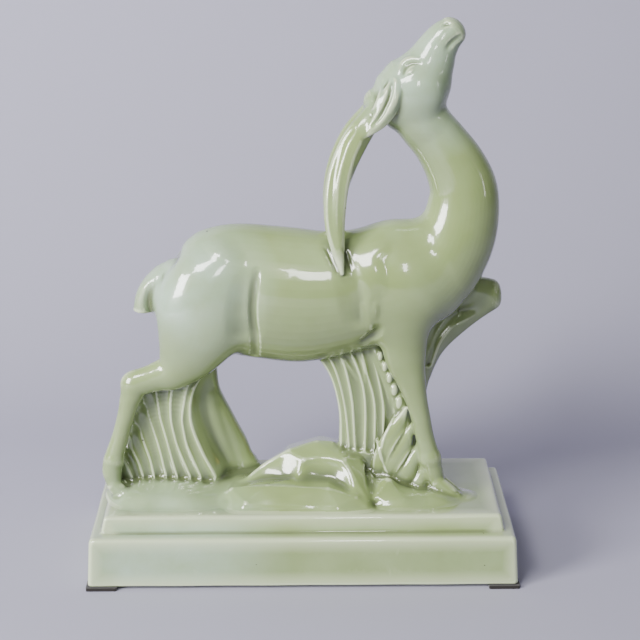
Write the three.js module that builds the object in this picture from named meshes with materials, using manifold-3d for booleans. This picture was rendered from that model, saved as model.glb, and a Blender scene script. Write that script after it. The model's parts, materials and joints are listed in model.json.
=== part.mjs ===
// Television lamp: a glazed earthenware antelope among rocks and grasses on a stepped
// plinth, with a small candelabra lampholder standing out of sight behind it.
// Millimetres, +Z up, +X towards the animal's chest, +Y towards the wall behind the lamp.
// The origin is the middle of the base, at the underside of the four foot pads.
import * as THREE from "three";
import { mergeVertices } from "three/addons/utils/BufferGeometryUtils.js";
import { ConvexGeometry } from "three/addons/geometries/ConvexGeometry.js";
import Module from "manifold-3d";

const wasm = await Module();
wasm.setup();

// ---------------------------------------------------------------- driving dimensions
const GAP = 0.3; // the thickness of slip, or of running clearance, between two pieces
const MID_Y = -6; // the antelope's plane of symmetry

const PAD = { side: 18, thick: 2, proud: 0.4 };

const WALL = 6; // how thick the slip builds up on the mould
const DRAIN = { x: 38, y: 0, radius: 6 }; // from the trunk down through the reeds
const SHEAF_DRAIN = { x: -76, y: 2, radius: 8 };

const PLINTH = {
  width: 252,
  depth: 116,
  foot: PAD.thick + GAP, // underside of the clay
  stepTop: 31.5,
  deckTop: 41.5,
  ledgeX: 7.3,
  ledgeY: 9.2,
  batter: 2, // how far the upper step leans in over its height
  draft: 1.6,
  wall: 5.5,
  corner: 2.5,
};

// The lampholder's upright axis, hidden behind the reeds and the near foreleg.
const HOLDER = { x: 50, y: 34 };
const CORD_HOLE = { x: 20, z: 15, radius: 6.5, recess: 9, recessY: 56.5 };

const NIPPLE = { radius: 5, bore: 3.4, bottom: 27, top: 51 };
const SHELL = { radius: 10.8, sheet: 0.5, bottom: 56, top: 89 };
const BULB = { seat: 74.6, capRadius: 5.9, capTop: 90, radius: 11, tip: 134, glass: 0.8 };
const SWITCH = { z: 64.5, shaftRadius: 1.7, knobFrom: 12.6, knobTo: 22.6, knobRadius: 4.6 };

const COLOURS = {
  glaze: { color: 0xb4bf98, roughness: 0.12, metalness: 0 },
  felt: { color: 0x33251f, roughness: 0.95, metalness: 0 },
  rubber: { color: 0x1d1c1b, roughness: 0.8, metalness: 0 },
  brass: { color: 0xb08d4a, roughness: 0.35, metalness: 1 },
  steel: { color: 0x9a9a98, roughness: 0.45, metalness: 1 },
  fibre: { color: 0x8a7357, roughness: 0.9, metalness: 0 },
  phenolic: { color: 0x2a1a12, roughness: 0.35, metalness: 0 },
  glass: { color: 0xf2f4f2, roughness: 0.05, metalness: 0 },
  tungsten: { color: 0x6a6a6c, roughness: 0.5, metalness: 1 },
};

// ---------------------------------------------------------------- solids and booleans
function toSolid(geometry) {
  const bare = new THREE.BufferGeometry();
  bare.setAttribute("position", geometry.getAttribute("position"));
  if (geometry.index) bare.setIndex(geometry.index);
  const merged = mergeVertices(bare, 1e-4);
  const triVerts = new Uint32Array(merged.index.array);
  const vertProperties = merged.getAttribute("position").array;
  return new wasm.Manifold(new wasm.Mesh({ numProp: 3, vertProperties, triVerts }));
}

function toGeometry(solid) {
  const mesh = solid.getMesh();
  const geometry = new THREE.BufferGeometry();
  geometry.setAttribute("position", new THREE.BufferAttribute(mesh.vertProperties, 3));
  geometry.setIndex(new THREE.BufferAttribute(mesh.triVerts, 1));
  const faceted = geometry.toNonIndexed();
  faceted.computeVertexNormals();
  return faceted;
}

const join = (solids) => solids.reduce((whole, solid) => whole.add(solid));

// The piece without its neighbours, and without any crumb that a cut leaves loose.
function cut(piece, ...tools) {
  const left = tools.reduce((rest, tool) => rest.subtract(tool), piece);
  return left.decompose().sort((a, b) => b.volume() - a.volume())[0];
}

// ---------------------------------------------------------------- surface builders
// A closed skin over rings that all have the same number of points. Each end is
// closed with a fan to its apex, or to the middle of its ring.
function skin(rings, startApex, endApex) {
  const count = rings[0].length;
  const middle = (ring) =>
    ring.reduce((sum, p) => sum.add(p), new THREE.Vector3()).divideScalar(count);
  const points = rings.flat();
  const start = points.push(startApex ?? middle(rings[0])) - 1;
  const end = points.push(endApex ?? middle(rings.at(-1))) - 1;
  const index = [];
  for (let i = 0; i < count; i++) {
    const next = (i + 1) % count;
    const last = (rings.length - 1) * count;
    index.push(start, next, i, end, last + i, last + next);
    for (let r = 0; r < rings.length - 1; r++) {
      const low = r * count;
      const high = low + count;
      index.push(low + i, low + next, high + next, low + i, high + next, high + i);
    }
  }
  const volume = index.reduce((sum, _, i) => {
    if (i % 3) return sum;
    const [a, b, c] = [points[index[i]], points[index[i + 1]], points[index[i + 2]]];
    return sum + a.dot(new THREE.Vector3().crossVectors(b, c));
  }, 0);
  if (volume < 0) index.reverse();
  return toSolid(new THREE.BufferGeometry().setFromPoints(points).setIndex(index));
}

const CAP_STEPS = [0.5, 0.85]; // how far along a round end each of its rings lies

// A limb: elliptical sections square to a smooth path. A station is
// [x, y, z, half width in the XZ plane, half width across it].
function limb(stations, { sides = 14, perSpan = 2, grow = 0, flatEnd = false } = {}) {
  const path = new THREE.CatmullRomCurve3(
    stations.map(([x, y, z]) => new THREE.Vector3(x, y, z)),
  );
  const size = new THREE.CatmullRomCurve3(
    stations.map(([, , , a, b]) => new THREE.Vector3(a, b, 0)),
  );
  const steps = (stations.length - 1) * perSpan;
  const ringAt = (t, along, scale) => {
    const tangent = path.getTangent(t);
    const across = new THREE.Vector3(0, 1, 0).addScaledVector(tangent, -tangent.y);
    across.normalize();
    const upright = new THREE.Vector3().crossVectors(across, tangent);
    const half = size.getPoint(t).addScalar(grow).multiplyScalar(scale);
    const centre = path.getPoint(t).addScaledVector(tangent, along);
    return Array.from({ length: sides }, (_, i) => {
      const angle = (2 * Math.PI * i) / sides;
      return centre
        .clone()
        .addScaledVector(upright, half.x * Math.cos(angle))
        .addScaledVector(across, half.y * Math.sin(angle));
    });
  };
  const capLength = (t) => Math.min(size.getPoint(t).x, size.getPoint(t).y) + grow;
  const capRings = (t, sign) =>
    CAP_STEPS.map((s) => ringAt(t, sign * s * capLength(t), Math.sqrt(1 - s * s)));
  const apex = (t, sign) =>
    path.getPoint(t).addScaledVector(path.getTangent(t), sign * capLength(t));
  const rings = capRings(0, -1).reverse();
  for (let i = 0; i <= steps; i++) rings.push(ringAt(i / steps, 0, 1));
  if (!flatEnd) rings.push(...capRings(1, 1));
  return skin(rings, apex(0, -1), flatEnd ? undefined : apex(1, 1));
}

// A piece mirrored to the antelope's far side.
const farSide = (stations) => stations.map(([x, y, ...rest]) => [x, 2 * MID_Y - y, ...rest]);

// An ellipsoid, or the dome of one where the deck cuts it.
function ellipsoid([x, y, z], [a, b, c], grow = 0, sides = 14) {
  const ball = new THREE.SphereGeometry(1, sides, Math.round(sides * 0.55));
  ball.rotateX(Math.PI / 2);
  ball.scale(a + grow, b + grow, c + grow);
  return toSolid(ball.translate(x, y, z));
}

// A prism with rounded corners whose top is drawn in by `lean`.
function slab({ width, depth, bottom, top, lean = 0, corner = 0, x = 0, y = 0 }) {
  const turns = corner > 0 ? [0, 0.25, 0.5, 0.75, 1] : [0.5];
  const ring = (inset, z) => {
    const halfX = width / 2 - inset - corner;
    const halfY = depth / 2 - inset - corner;
    const corners = [[1, 1], [-1, 1], [-1, -1], [1, -1]];
    return corners.flatMap(([sx, sy], i) =>
      turns.map((turn) => {
        const angle = ((i + turn) * Math.PI) / 2;
        const reach = corner > 0 ? corner : 0;
        return new THREE.Vector3(
          x + sx * halfX + reach * Math.cos(angle),
          y + sy * halfY + reach * Math.sin(angle),
          z,
        );
      }),
    );
  };
  return skin([ring(0, bottom), ring(lean, top)]);
}

// A solid of revolution about an upright axis; the profile is [radius, z] pairs
// that start and end on the axis, or close on themselves.
function turned(profile, sides = 24, { x, y } = HOLDER) {
  const points = profile.map(([radius, z]) => new THREE.Vector2(radius, z));
  const lathe = new THREE.LatheGeometry(points, sides);
  lathe.rotateX(Math.PI / 2);
  return toSolid(outward(lathe.translate(x, y, 0)));
}

// Turns a geometry's faces round if they look inwards.
function outward(geometry) {
  const position = geometry.getAttribute("position");
  const index = geometry.index.array;
  const corner = (i) => new THREE.Vector3().fromBufferAttribute(position, index[i]);
  let volume = 0;
  for (let i = 0; i < index.length; i += 3) {
    volume += corner(i).dot(corner(i + 1).cross(corner(i + 2)));
  }
  if (volume < 0) geometry.index.array.reverse();
  return geometry;
}

const tube = (outer, inner, bottom, top, sides = 24, place = HOLDER) =>
  turned([[inner, bottom], [outer, bottom], [outer, top], [inner, top], [inner, bottom]],
    sides, place);

const rod = (radius, bottom, top, sides = 20, place = HOLDER) =>
  turned([[0, bottom], [radius, bottom], [radius, top], [0, top]], sides, place);

// A straight rod along +Y, from y0 to y1.
function rodAlongY(radius, x, z, y0, y1, sides = 20) {
  const cylinder = new THREE.CylinderGeometry(radius, radius, y1 - y0, sides);
  return toSolid(cylinder.translate(x, (y0 + y1) / 2, z));
}

// ---------------------------------------------------------------- the antelope
const TORSO = [
  [-81, MID_Y, 164.5, 19.5, 14],
  [-72, MID_Y, 163, 29.5, 19.5],
  [-58, MID_Y, 164.5, 36.5, 23],
  [-40, MID_Y, 167.5, 39, 23],
  [-20, MID_Y, 165.5, 40, 23],
  [0, MID_Y, 163.5, 40, 25],
  [20, MID_Y, 165, 37.3, 25.2],
  [40, MID_Y, 169.5, 34.8, 25],
  [60, MID_Y, 174.5, 36, 24],
  [76, MID_Y, 176, 32.5, 21],
  [86, MID_Y, 177.5, 24, 17],
];

const NECK = [
  [70, MID_Y, 172, 24, 20],
  [81, MID_Y, 183.5, 24.5, 20.5],
  [88.5, MID_Y, 197, 23.4, 19.8],
  [92.5, MID_Y, 211, 21.6, 17.8],
  [93, MID_Y, 226, 19.8, 16],
  [88, MID_Y, 240, 17.8, 14.3],
  [79.2, MID_Y, 253.7, 15.8, 12.8],
  [70, MID_Y, 264.2, 15, 12],
  [63, MID_Y, 271, 12.5, 11.5],
];

const HAUNCH = [
  [-44, -17, 187, 13, 10],
  [-52.5, -18, 172, 24.5, 13.2],
  [-58.3, -18.5, 151, 26.8, 13.5],
  [-67, -18.5, 132, 18.6, 10.5],
  [-76, -18, 121.3, 11.8, 7.8],
];

const SHOULDER = [
  [66, -17, 197, 14, 8],
  [61, -18.5, 174, 21, 11.6],
  [58.7, -18.3, 155, 15.4, 9.6],
  [59.2, -17.6, 145, 11.8, 7],
];

const HEAD = [
  [44, MID_Y, 275, 10.5, 8.5],
  [48.5, MID_Y, 276.6, 15.6, 11.5],
  [55.3, MID_Y, 279.3, 18.8, 13],
  [63, MID_Y, 284.3, 20.3, 13.6],
  [69, MID_Y, 292.4, 17.6, 12.4],
  [73, MID_Y, 300, 13.8, 10.5],
  [76.7, MID_Y, 307.1, 11.6, 8.8],
  [80.7, MID_Y, 312.8, 10.2, 8],
  [84.8, MID_Y, 316.7, 8.8, 7],
];

const HORN = [
  [41, -12.5, 271.5, 6.2, 4.6],
  [31.5, -14.5, 258, 7.6, 4.8],
  [24.5, -16.5, 244, 7.5, 4.6],
  [20.4, -18.5, 231, 6.9, 4.2],
  [18.8, -20.5, 217.5, 6.2, 3.9],
  [19, -22.5, 206.5, 5.2, 3.6],
  [20.4, -25, 197, 3.9, 3],
  [22.2, -27.6, 188, 2.3, 2.3],
  [23.2, -28.8, 183, 1.2, 1.2],
];

const EAR = [
  [57, -17, 290, 3, 2.4],
  [51, -19.3, 282.5, 6, 2.8],
  [44.5, -20.8, 273.5, 6, 2.6],
  [38.5, -20.8, 266.5, 3.8, 2],
  [35, -20.4, 262.5, 1.4, 1.2],
];

const TAIL = [
  [-80, MID_Y, 179, 4, 6.5],
  [-87.5, MID_Y, 173.5, 4.6, 6.5],
  [-92, MID_Y, 166.5, 4.8, 6.3],
  [-93.4, MID_Y, 160.5, 4.8, 6],
  [-92.8, MID_Y, 154.6, 4.9, 5.6],
];

const HIND_LEG = {
  near: [
    [-70, -18, 126, 13, 8],
    [-76, -18, 121.3, 11.4, 7.6],
    [-86, -18, 117.6, 8.6, 6.4],
    [-96.3, -18, 113.3, 7.9, 6],
    [-100.6, -18, 104.5, 6.3, 5.4],
    [-103, -18, 96, 5.3, 4.9],
    [-107, -18, 82, 5, 4.7],
    [-111, -18, 69, 5.7, 5.2],
    [-112.8, -18, 60, 6, 5.4],
    [-112.4, -18.5, 54, 5, 4.8],
  ],
  far: [
    [-56, 6, 140, 14, 8],
    [-61, 7, 127, 11, 7.4],
    [-62, 8.5, 114, 7.6, 6.2],
    [-57.2, 9.5, 102, 5.8, 5.4],
    [-50.8, 10, 90, 5, 4.9],
    [-44.2, 10.5, 77, 5, 4.8],
    [-39.8, 11, 67.5, 5.6, 5.2],
    [-37.3, 11, 61.5, 5, 4.8],
  ],
};
const HOCK_POINT = { near: [-98.6, -18, 113.6], far: [-66, 8.5, 115.5] };

const FORELEG = [
  [58.6, -17.8, 158, 16, 10],
  [58.9, -17.6, 148, 15, 9.6],
  [59.5, -17.3, 137, 13.3, 8.4],
  [60.8, -17, 126, 11.5, 7.4],
  [63.8, -17, 115, 8.7, 6.5],
  [67.5, -17, 101, 6.4, 5.6],
  [69.9, -17, 91, 5.8, 5.3],
  [72.4, -17, 79, 5.5, 5],
  [75.3, -17, 66.5, 6.4, 5.6],
  [77.8, -17, 57, 6, 5.4],
  [79.6, -17, 52.5, 5, 4.9],
];

const RAISED_ARM = [
  [72, 5, 163, 14, 8.5],
  [84, 7.5, 160.5, 12, 7.8],
  [98, 9, 161, 9.3, 7],
  [106, 9, 161.2, 8.8, 6.8],
  [111.4, 9, 160.3, 8.6, 6.6],
];
const RAISED_CANNON = [
  [112, 9, 156, 6.4, 5.6],
  [101, 9, 146.5, 5, 4.8],
  [89.5, 9, 135.6, 4.2, 4.4],
  [81, 8.5, 126, 3.8, 4.2],
  [76.2, 8, 118, 4, 4.4],
  [73.4, 7.5, 111, 3.6, 4.4],
];

// A cloven hoof: two flattened toes side by side, pointing along `aim`.
function hoof([x, y, z], aim, length, grow = 0) {
  const toe = (side) =>
    limb(
      [
        [x, y + side * 2.6, z, 4.6, 3.1],
        [x + aim * length * 0.5, y + side * 2.9, z - 3.2, 4.4, 3.3],
        [x + aim * length, y + side * 2.7, z - 5.6, 2.4, 2.6],
      ],
      { sides: 8, perSpan: 1, grow },
    );
  return join([toe(-1), toe(1)]);
}

const bodyCasting = (grow = 0) =>
  join([
    limb(TORSO, { sides: 18, perSpan: 1, grow }),
    limb(NECK, { sides: 16, perSpan: 1, grow }),
    limb(HAUNCH, { sides: 12, grow }),
    limb(farSide(HAUNCH), { sides: 12, grow }),
    limb(SHOULDER, { sides: 12, grow }),
    limb(farSide(SHOULDER).slice(0, 3), { sides: 12, perSpan: 1, grow }),
  ]);

// The hollow that draining the slip leaves inside the trunk and the neck, and the
// hole through the belly that drains it into the reeds below.
const castingHollow = () =>
  join([
    limb(TORSO.slice(1, -1), { sides: 10, perSpan: 1, grow: -WALL }),
    limb(NECK.slice(1, -1), { sides: 8, perSpan: 1, grow: -WALL }),
    rod(DRAIN.radius, 118, 150, 14, DRAIN),
  ]);

const headCasting = (grow = 0) => limb(HEAD, { sides: 16, perSpan: 1, grow });
const hornCasting = (side, grow = 0) => limb(side(HORN), { sides: 10, perSpan: 1, grow });
const earCasting = (side, grow = 0) => limb(side(EAR), { sides: 10, grow });

const hindLeg = (side, grow = 0) => {
  const leg = HIND_LEG[side];
  const [x, y, z] = leg.at(-1);
  return join([
    limb(leg, { sides: 12, perSpan: 1, grow }),
    ellipsoid(HOCK_POINT[side], [7.4, 5, 7.6], grow, 10),
    hoof([x + 1.2, y, z - 4.4], 1, 8, grow),
  ]);
};

const foreleg = (grow = 0) =>
  join([limb(FORELEG, { sides: 12, perSpan: 1, grow }), hoof([80.8, -17.4, 49.8], 1, 11, grow)]);

const raisedForeleg = (grow = 0) =>
  join([
    limb(RAISED_ARM, { sides: 12, perSpan: 1, grow }),
    limb(RAISED_CANNON, { sides: 10, perSpan: 1, grow }),
  ]);

// ---------------------------------------------------------------- plants and rocks
const FLUTE = [[0, 0], [0.5, 1]]; // place along it, share of the depth

// A clump of blades: flutes run up a lofted column whose plan at each level is four
// corners, [front left, front right, back right, back left], each [x, y].
function bladeClump(levels, flutes, depth, grow = 0) {
  const rings = levels.map(({ z, corners }) => {
    const middle = new THREE.Vector2();
    corners.forEach(([x, y]) => middle.add(new THREE.Vector2(x, y).divideScalar(4)));
    return corners.flatMap(([x, y], side) => {
      const from = new THREE.Vector2(x, y);
      const to = new THREE.Vector2(...corners[(side + 1) % 4]);
      const inward = new THREE.Vector2(from.y - to.y, to.x - from.x).normalize();
      const ring = [];
      for (let i = 0; i < flutes[side]; i++) {
        for (const [place, share] of FLUTE) {
          const at = from.clone().lerp(to, (i + place) / flutes[side]);
          at.addScaledVector(inward, share * depth);
          const out = at.clone().sub(middle).setLength(grow);
          ring.push(new THREE.Vector3(at.x + out.x, at.y + out.y, z));
        }
      }
      return ring;
    });
  });
  return skin(rings);
}

const GRASS_SHEAF = [
  { z: 43, corners: [[-113, -13], [-50, -15], [-33, 18], [-103, 20]] },
  { z: 54, corners: [[-112, -13], [-52.5, -15], [-36, 17], [-102, 19]] },
  { z: 66, corners: [[-110, -12.5], [-58.5, -14.5], [-39.5, 16], [-100, 18]] },
  { z: 80, corners: [[-107, -12], [-63.8, -14], [-44, 15], [-97, 17]] },
  { z: 94, corners: [[-102.5, -11.5], [-66.3, -13.5], [-49.5, 14], [-94, 16]] },
  { z: 108, corners: [[-96, -11], [-64.5, -13], [-54, 13], [-88, 15]] },
  { z: 124, corners: [[-86, -10], [-58, -12], [-56, 12], [-80, 13]] },
];

const REEDS = [
  { z: 43, corners: [[20, -12], [57, -13], [60, 13], [22, 14]] },
  { z: 60, corners: [[20.5, -12], [57, -13], [61, 13], [22, 14]] },
  { z: 78, corners: [[21.5, -11.5], [58, -12], [62, 13], [22.5, 14]] },
  { z: 92, corners: [[21.3, -11.5], [60, -12], [63, 13], [22, 14]] },
  { z: 106, corners: [[18.6, -11.5], [60, -12], [63, 13], [19.5, 14]] },
  { z: 116, corners: [[14.8, -11.5], [56, -12], [61, 13], [16, 14]] },
  { z: 126, corners: [[8.5, -11.5], [50, -12], [58, 12], [10, 14]] },
  { z: 138, corners: [[2, -11], [46, -11], [54, 10], [4, 13]] },
];

// A leaf blade: a limb that is thin across and comes to a point.
const blade = (stations, grow = 0) => limb(stations, { sides: 8, perSpan: 1, grow });

const KNEE_FROND = [
  [
    [64, 3, 88, 6, 5.5],
    [67, 4, 104, 6, 5.5],
    [71.8, 5.5, 118, 6, 5],
    [79, 7, 128.6, 5.6, 4.6],
    [88.5, 8, 138, 4.4, 4],
    [98, 8.5, 146, 2.6, 3],
  ],
  [
    [66, 2, 108, 5.5, 4.5],
    [72, 3, 122, 6.5, 4.5],
    [79, 4.5, 136, 5.5, 4],
    [87, 6, 145.5, 3.2, 3],
  ],
];

const BROAD_LEAVES = [
  [[50, -11, 56, 5, 2.6], [52, -13.5, 70, 5.2, 2.4], [56.5, -13, 84, 4.4, 2.2], [61, -12.5, 96, 1.2, 1.2]],
  [[53, -12, 52, 5, 2.8], [55.5, -15, 62, 5.2, 2.6], [60, -14.5, 75, 4.4, 2.4], [65, -14, 87, 1.6, 1.4]],
  [[58, -13, 48, 5, 2.8], [60, -16, 56, 5, 2.8], [63.5, -16, 65, 4, 2.4], [67.5, -15.5, 75, 1.6, 1.4]],
  [[65, -14, 46, 4.4, 2.8], [66, -17, 51, 4, 2.6], [68, -17, 57, 3, 2.2], [70, -16.5, 62, 1.4, 1.4]],
];

const SEED_STEM = [
  [42.5, -11.4, 132, 1.4, 1.8],
  [46.3, -12.4, 125.5, 1.4, 1.8],
  [50.4, -13, 118.2, 1.4, 1.8],
  [54, -13.4, 110, 1.4, 1.8],
  [57.6, -13.6, 101.7, 1.4, 1.8],
];

const BOULDER = [
  [-40, -13, 43], [-37, -15, 47], [-27, -13, 56], [-10.5, -9, 67], [-1, -7, 70.6],
  [9, -5, 73], [19, -5, 71.6], [27, -8, 67.5], [-6, -21, 63], [13, -15, 68.2],
  [28, -19, 64.2], [31, -31, 48], [15, -31, 49.5], [40, -34.5, 42], [-34, -19, 43],
  [36, -14, 62], [45, -20, 48], [48, -24, 42], [-24, 8, 48], [-8, 16, 60],
  [12, 17, 66], [30, 15, 62], [44, 12, 46], [-34, 2, 42], [0, 22, 42], [44, 16, 42],
];
const SIDE_ROCK = [
  [44, -22, 52], [50, -21, 55], [56, -22, 51], [50, -29, 47], [42, -31, 44.5], [57, -29, 44],
  [62, -24, 44], [40, -28, 42], [46, -33, 42], [60, -32, 42], [66, -22, 42], [54, -14, 50],
  [44, -14, 52], [42, -12, 42], [64, -14, 42],
];

function rock(points, grow = 0) {
  const corners = points.map((p) => new THREE.Vector3(...p));
  const middle = corners.reduce((sum, p) => sum.add(p), new THREE.Vector3());
  middle.divideScalar(corners.length);
  corners.forEach((p) => p.add(p.clone().sub(middle).setLength(grow)));
  return toSolid(new ConvexGeometry(corners));
}

// A clump without its flutes: its outer envelope, or the hollow up its middle.
const plainClump = (levels, grow) => bladeClump(levels, [2, 1, 2, 1], 0, grow);

const grassSheaf = () => bladeClump(GRASS_SHEAF, [9, 2, 5, 2], 2.4);
const reedClump = () => bladeClump(REEDS, [6, 2, 5, 2], 2.1);
const kneeFrond = (grow = 0) => join(KNEE_FROND.map((leaf) => blade(leaf, grow)));
const broadLeaves = (grow = 0) => join(BROAD_LEAVES.map((leaf) => blade(leaf, grow)));

function seedStem(grow = 0) {
  const beads = [];
  const steps = 4;
  for (let i = 0; i <= steps; i++) {
    const at = (i / steps) * (SEED_STEM.length - 1);
    const from = SEED_STEM[Math.min(Math.floor(at), SEED_STEM.length - 2)];
    const to = SEED_STEM[Math.min(Math.floor(at) + 1, SEED_STEM.length - 1)];
    const share = at - SEED_STEM.indexOf(from);
    const [x, y, z] = from.map((value, k) => value + (to[k] - value) * share);
    const radius = 1.9 + 0.22 * i;
    beads.push(ellipsoid([x, y - 1, z], [radius, 2.2, radius * 1.4], grow, 7));
  }
  return join([limb(SEED_STEM, { sides: 6, perSpan: 1, grow }), ...beads]);
}

// ---------------------------------------------------------------- the plinth
const p = PLINTH;
const upperWidth = p.width - 2 * p.ledgeX;
const upperDepth = p.depth - 2 * p.ledgeY;

function plinthCasting() {
  const lower = slab({
    width: p.width, depth: p.depth, bottom: p.foot, top: p.stepTop, lean: p.draft, corner: p.corner,
  });
  const upper = slab({
    width: upperWidth, depth: upperDepth, bottom: p.stepTop - 1, top: p.deckTop,
    lean: p.batter, corner: p.corner,
  });
  const lowerHollow = slab({
    width: p.width - 2 * p.wall, depth: p.depth - 2 * p.wall,
    bottom: 0, top: p.stepTop - p.wall, corner: p.corner,
  });
  const upperHollow = slab({
    width: upperWidth - 2 * p.wall, depth: upperDepth - 2 * p.wall,
    bottom: p.stepTop - p.wall - 1, top: p.deckTop - p.wall, corner: p.corner,
  });
  const nippleHole = rod(NIPPLE.radius + GAP, p.deckTop - p.wall - 2, p.deckTop + 2);
  const drains = [DRAIN, SHEAF_DRAIN].map((drain) =>
    rod(drain.radius, p.deckTop - p.wall - 2, p.deckTop + 2, 16, drain));
  const { x, z, radius, recess, recessY } = CORD_HOLE;
  const cordHole = join([
    rodAlongY(radius, x, z, recessY - 8, recessY + 1),
    rodAlongY(recess, x, z, recessY, p.depth / 2 + 1),
  ]);
  return cut(join([lower, upper]), lowerHollow, upperHollow, nippleHole, cordHole, ...drains);
}

function footPad(sx, sy) {
  return slab({
    width: PAD.side, depth: PAD.side, bottom: 0, top: PAD.thick, corner: 1,
    x: sx * (p.width / 2 + PAD.proud - PAD.side / 2),
    y: sy * (p.depth / 2 + PAD.proud - PAD.side / 2),
  });
}

// A rubber ring with a groove that grips the plinth's back wall.
function cordGrommet() {
  const inside = p.depth / 2 - p.wall - GAP;
  const outside = CORD_HOLE.recessY + GAP;
  const neck = CORD_HOLE.radius - GAP;
  const lip = CORD_HOLE.recess - 0.6;
  const bore = 4;
  const profile = [
    [bore, inside - 1.6], [8, inside - 1.6], [lip, inside - 0.8], [lip, inside], [neck, inside],
    [neck, outside], [lip, outside], [lip, outside + 0.7], [7.4, outside + 1.3],
    [bore, outside + 1.3], [bore, inside - 1.6],
  ];
  const points = profile.map(([radius, y]) => new THREE.Vector2(radius, y));
  const ring = new THREE.LatheGeometry(points, 20);
  return toSolid(outward(ring.translate(CORD_HOLE.x, 0, CORD_HOLE.z)));
}

// ---------------------------------------------------------------- the lampholder
const hexNut = (acrossFlats, bottom, top) =>
  rod(acrossFlats / Math.sqrt(3), bottom, top, 6).subtract(
    rod(NIPPLE.radius + GAP, bottom - 1, top + 1),
  );

const deckUnder = p.deckTop - p.wall;
const ringTop = p.deckTop + GAP + 2.6;

function socketCap() {
  const seat = ringTop + GAP;
  const rim = SHELL.radius + 0.2;
  const bore = NIPPLE.radius + GAP;
  return turned([
    [bore, seat], [6.6, seat], [6.8, seat + 3.4], [9.4, seat + 5.4], [rim + 0.1, seat + 8.4],
    [rim + 0.6, seat + 10], [rim + 0.6, 60], [rim, 60], [rim, seat + 10.4], [9, seat + 6.6],
    [6.2, seat + 5.4], [bore, seat + 5.4], [bore, seat],
  ]);
}

function socketShell() {
  const inner = SHELL.radius - SHELL.sheet;
  const shell = turned([
    [inner, SHELL.bottom], [SHELL.radius, SHELL.bottom], [SHELL.radius, SHELL.top - 1.2],
    [SHELL.radius - 0.9, SHELL.top], [inner - 1.4, SHELL.top], [inner - 1.4, SHELL.top - SHELL.sheet],
    [inner - 0.7, SHELL.top - SHELL.sheet], [inner, SHELL.top - 1.4], [inner, SHELL.bottom],
  ]);
  const shaftHole = rodAlongY(SWITCH.shaftRadius + 0.6, HOLDER.x, SWITCH.z, HOLDER.y, HOLDER.y + 20);
  return shell.subtract(shaftHole);
}

function shellLiner() {
  const outer = SHELL.radius - SHELL.sheet - GAP;
  const shaftHole = rodAlongY(SWITCH.shaftRadius + 0.8, HOLDER.x, SWITCH.z, HOLDER.y, HOLDER.y + 20);
  return tube(outer, outer - 0.6, SHELL.bottom + 5, SHELL.top - 2.4).subtract(shaftHole);
}

const contactSeat = 73.3; // underside of the threaded contact
const CONTACT = { inner: BULB.capRadius + 0.25, outer: BULB.capRadius + 0.75 };

// The moulded insulator that holds the switch, the two terminals and both contacts.
function socketBody() {
  const flange = SHELL.radius - SHELL.sheet - GAP - 0.6 - GAP;
  const body = turned([
    [0, 59.5], [6, 59.5], [6.6, 60.2], [6.6, 69.5], [flange, 70.5], [flange, 73], [2.2, 73],
    [2.2, 72], [0, 72],
  ]);
  const shaftBore = rodAlongY(SWITCH.shaftRadius + GAP, HOLDER.x, SWITCH.z, HOLDER.y - 3, HOLDER.y + 12);
  const screwHole = rodAlongX(1.2 + GAP, HOLDER.x - 12, HOLDER.x - 3.6);
  const otherHole = rodAlongX(1.2 + GAP, HOLDER.x + 3.6, HOLDER.x + 12);
  return body.subtract(shaftBore).subtract(screwHole).subtract(otherHole);
}

const TERMINAL_Z = 66.5;
function rodAlongX(radius, x0, x1, sides = 16) {
  const cylinder = new THREE.CylinderGeometry(radius, radius, x1 - x0, sides);
  cylinder.rotateZ(Math.PI / 2);
  return toSolid(cylinder.translate((x0 + x1) / 2, HOLDER.y, TERMINAL_Z));
}

// A slotted binding screw in the side of the insulator.
function terminalScrew(side) {
  const span = (near, far) => {
    const ends = [HOLDER.x + side * near, HOLDER.x + side * far].sort((a, b) => a - b);
    return ends;
  };
  const shank = rodAlongX(1.2, ...span(4, 7.2), 12);
  const head = rodAlongX(2.1, ...span(6.9, 8.5), 16);
  const slot = slab({
    width: 0.8, depth: 6, bottom: TERMINAL_Z - 0.35, top: TERMINAL_Z + 0.35,
    x: HOLDER.x + side * 8.5, y: HOLDER.y,
  });
  return join([shank, head]).subtract(slot);
}

const screwContact = () =>
  turned([
    [3.2, contactSeat], [CONTACT.outer, contactSeat], [CONTACT.outer, 87.4], [CONTACT.inner, 87.4],
    [CONTACT.inner, contactSeat + 0.6], [3.2, contactSeat + 0.6], [3.2, contactSeat],
  ]);

// A bent brass tongue that presses on the bulb's tip.
function centreContact() {
  const strip = new THREE.Shape([
    new THREE.Vector2(-1.6, 72.3), new THREE.Vector2(1.6, 72.3), new THREE.Vector2(1.6, 72.9),
    new THREE.Vector2(0.9, 73.1), new THREE.Vector2(0.9, 73.9), new THREE.Vector2(-1.4, 74.1),
    new THREE.Vector2(-1.4, 73.6), new THREE.Vector2(0.3, 73.4), new THREE.Vector2(0.3, 72.9),
    new THREE.Vector2(-1.6, 72.9),
  ]);
  const bar = new THREE.ExtrudeGeometry(strip, { depth: 2, bevelEnabled: false });
  bar.rotateX(Math.PI / 2);
  bar.translate(HOLDER.x, HOLDER.y + 1, 0);
  return toSolid(outward(indexed(bar)));
}

function indexed(geometry) {
  const bare = new THREE.BufferGeometry();
  bare.setAttribute("position", geometry.getAttribute("position"));
  return mergeVertices(bare, 1e-4);
}

// The shaft with the switch's rotor on its inner end.
const switchShaft = () =>
  join([
    rodAlongY(SWITCH.shaftRadius, HOLDER.x, SWITCH.z, HOLDER.y - 2, HOLDER.y + SWITCH.knobFrom + 5),
    rodAlongY(SWITCH.shaftRadius - 0.2, HOLDER.x, SWITCH.z, HOLDER.y - 2.6, HOLDER.y - 1, 12),
  ]);

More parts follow.
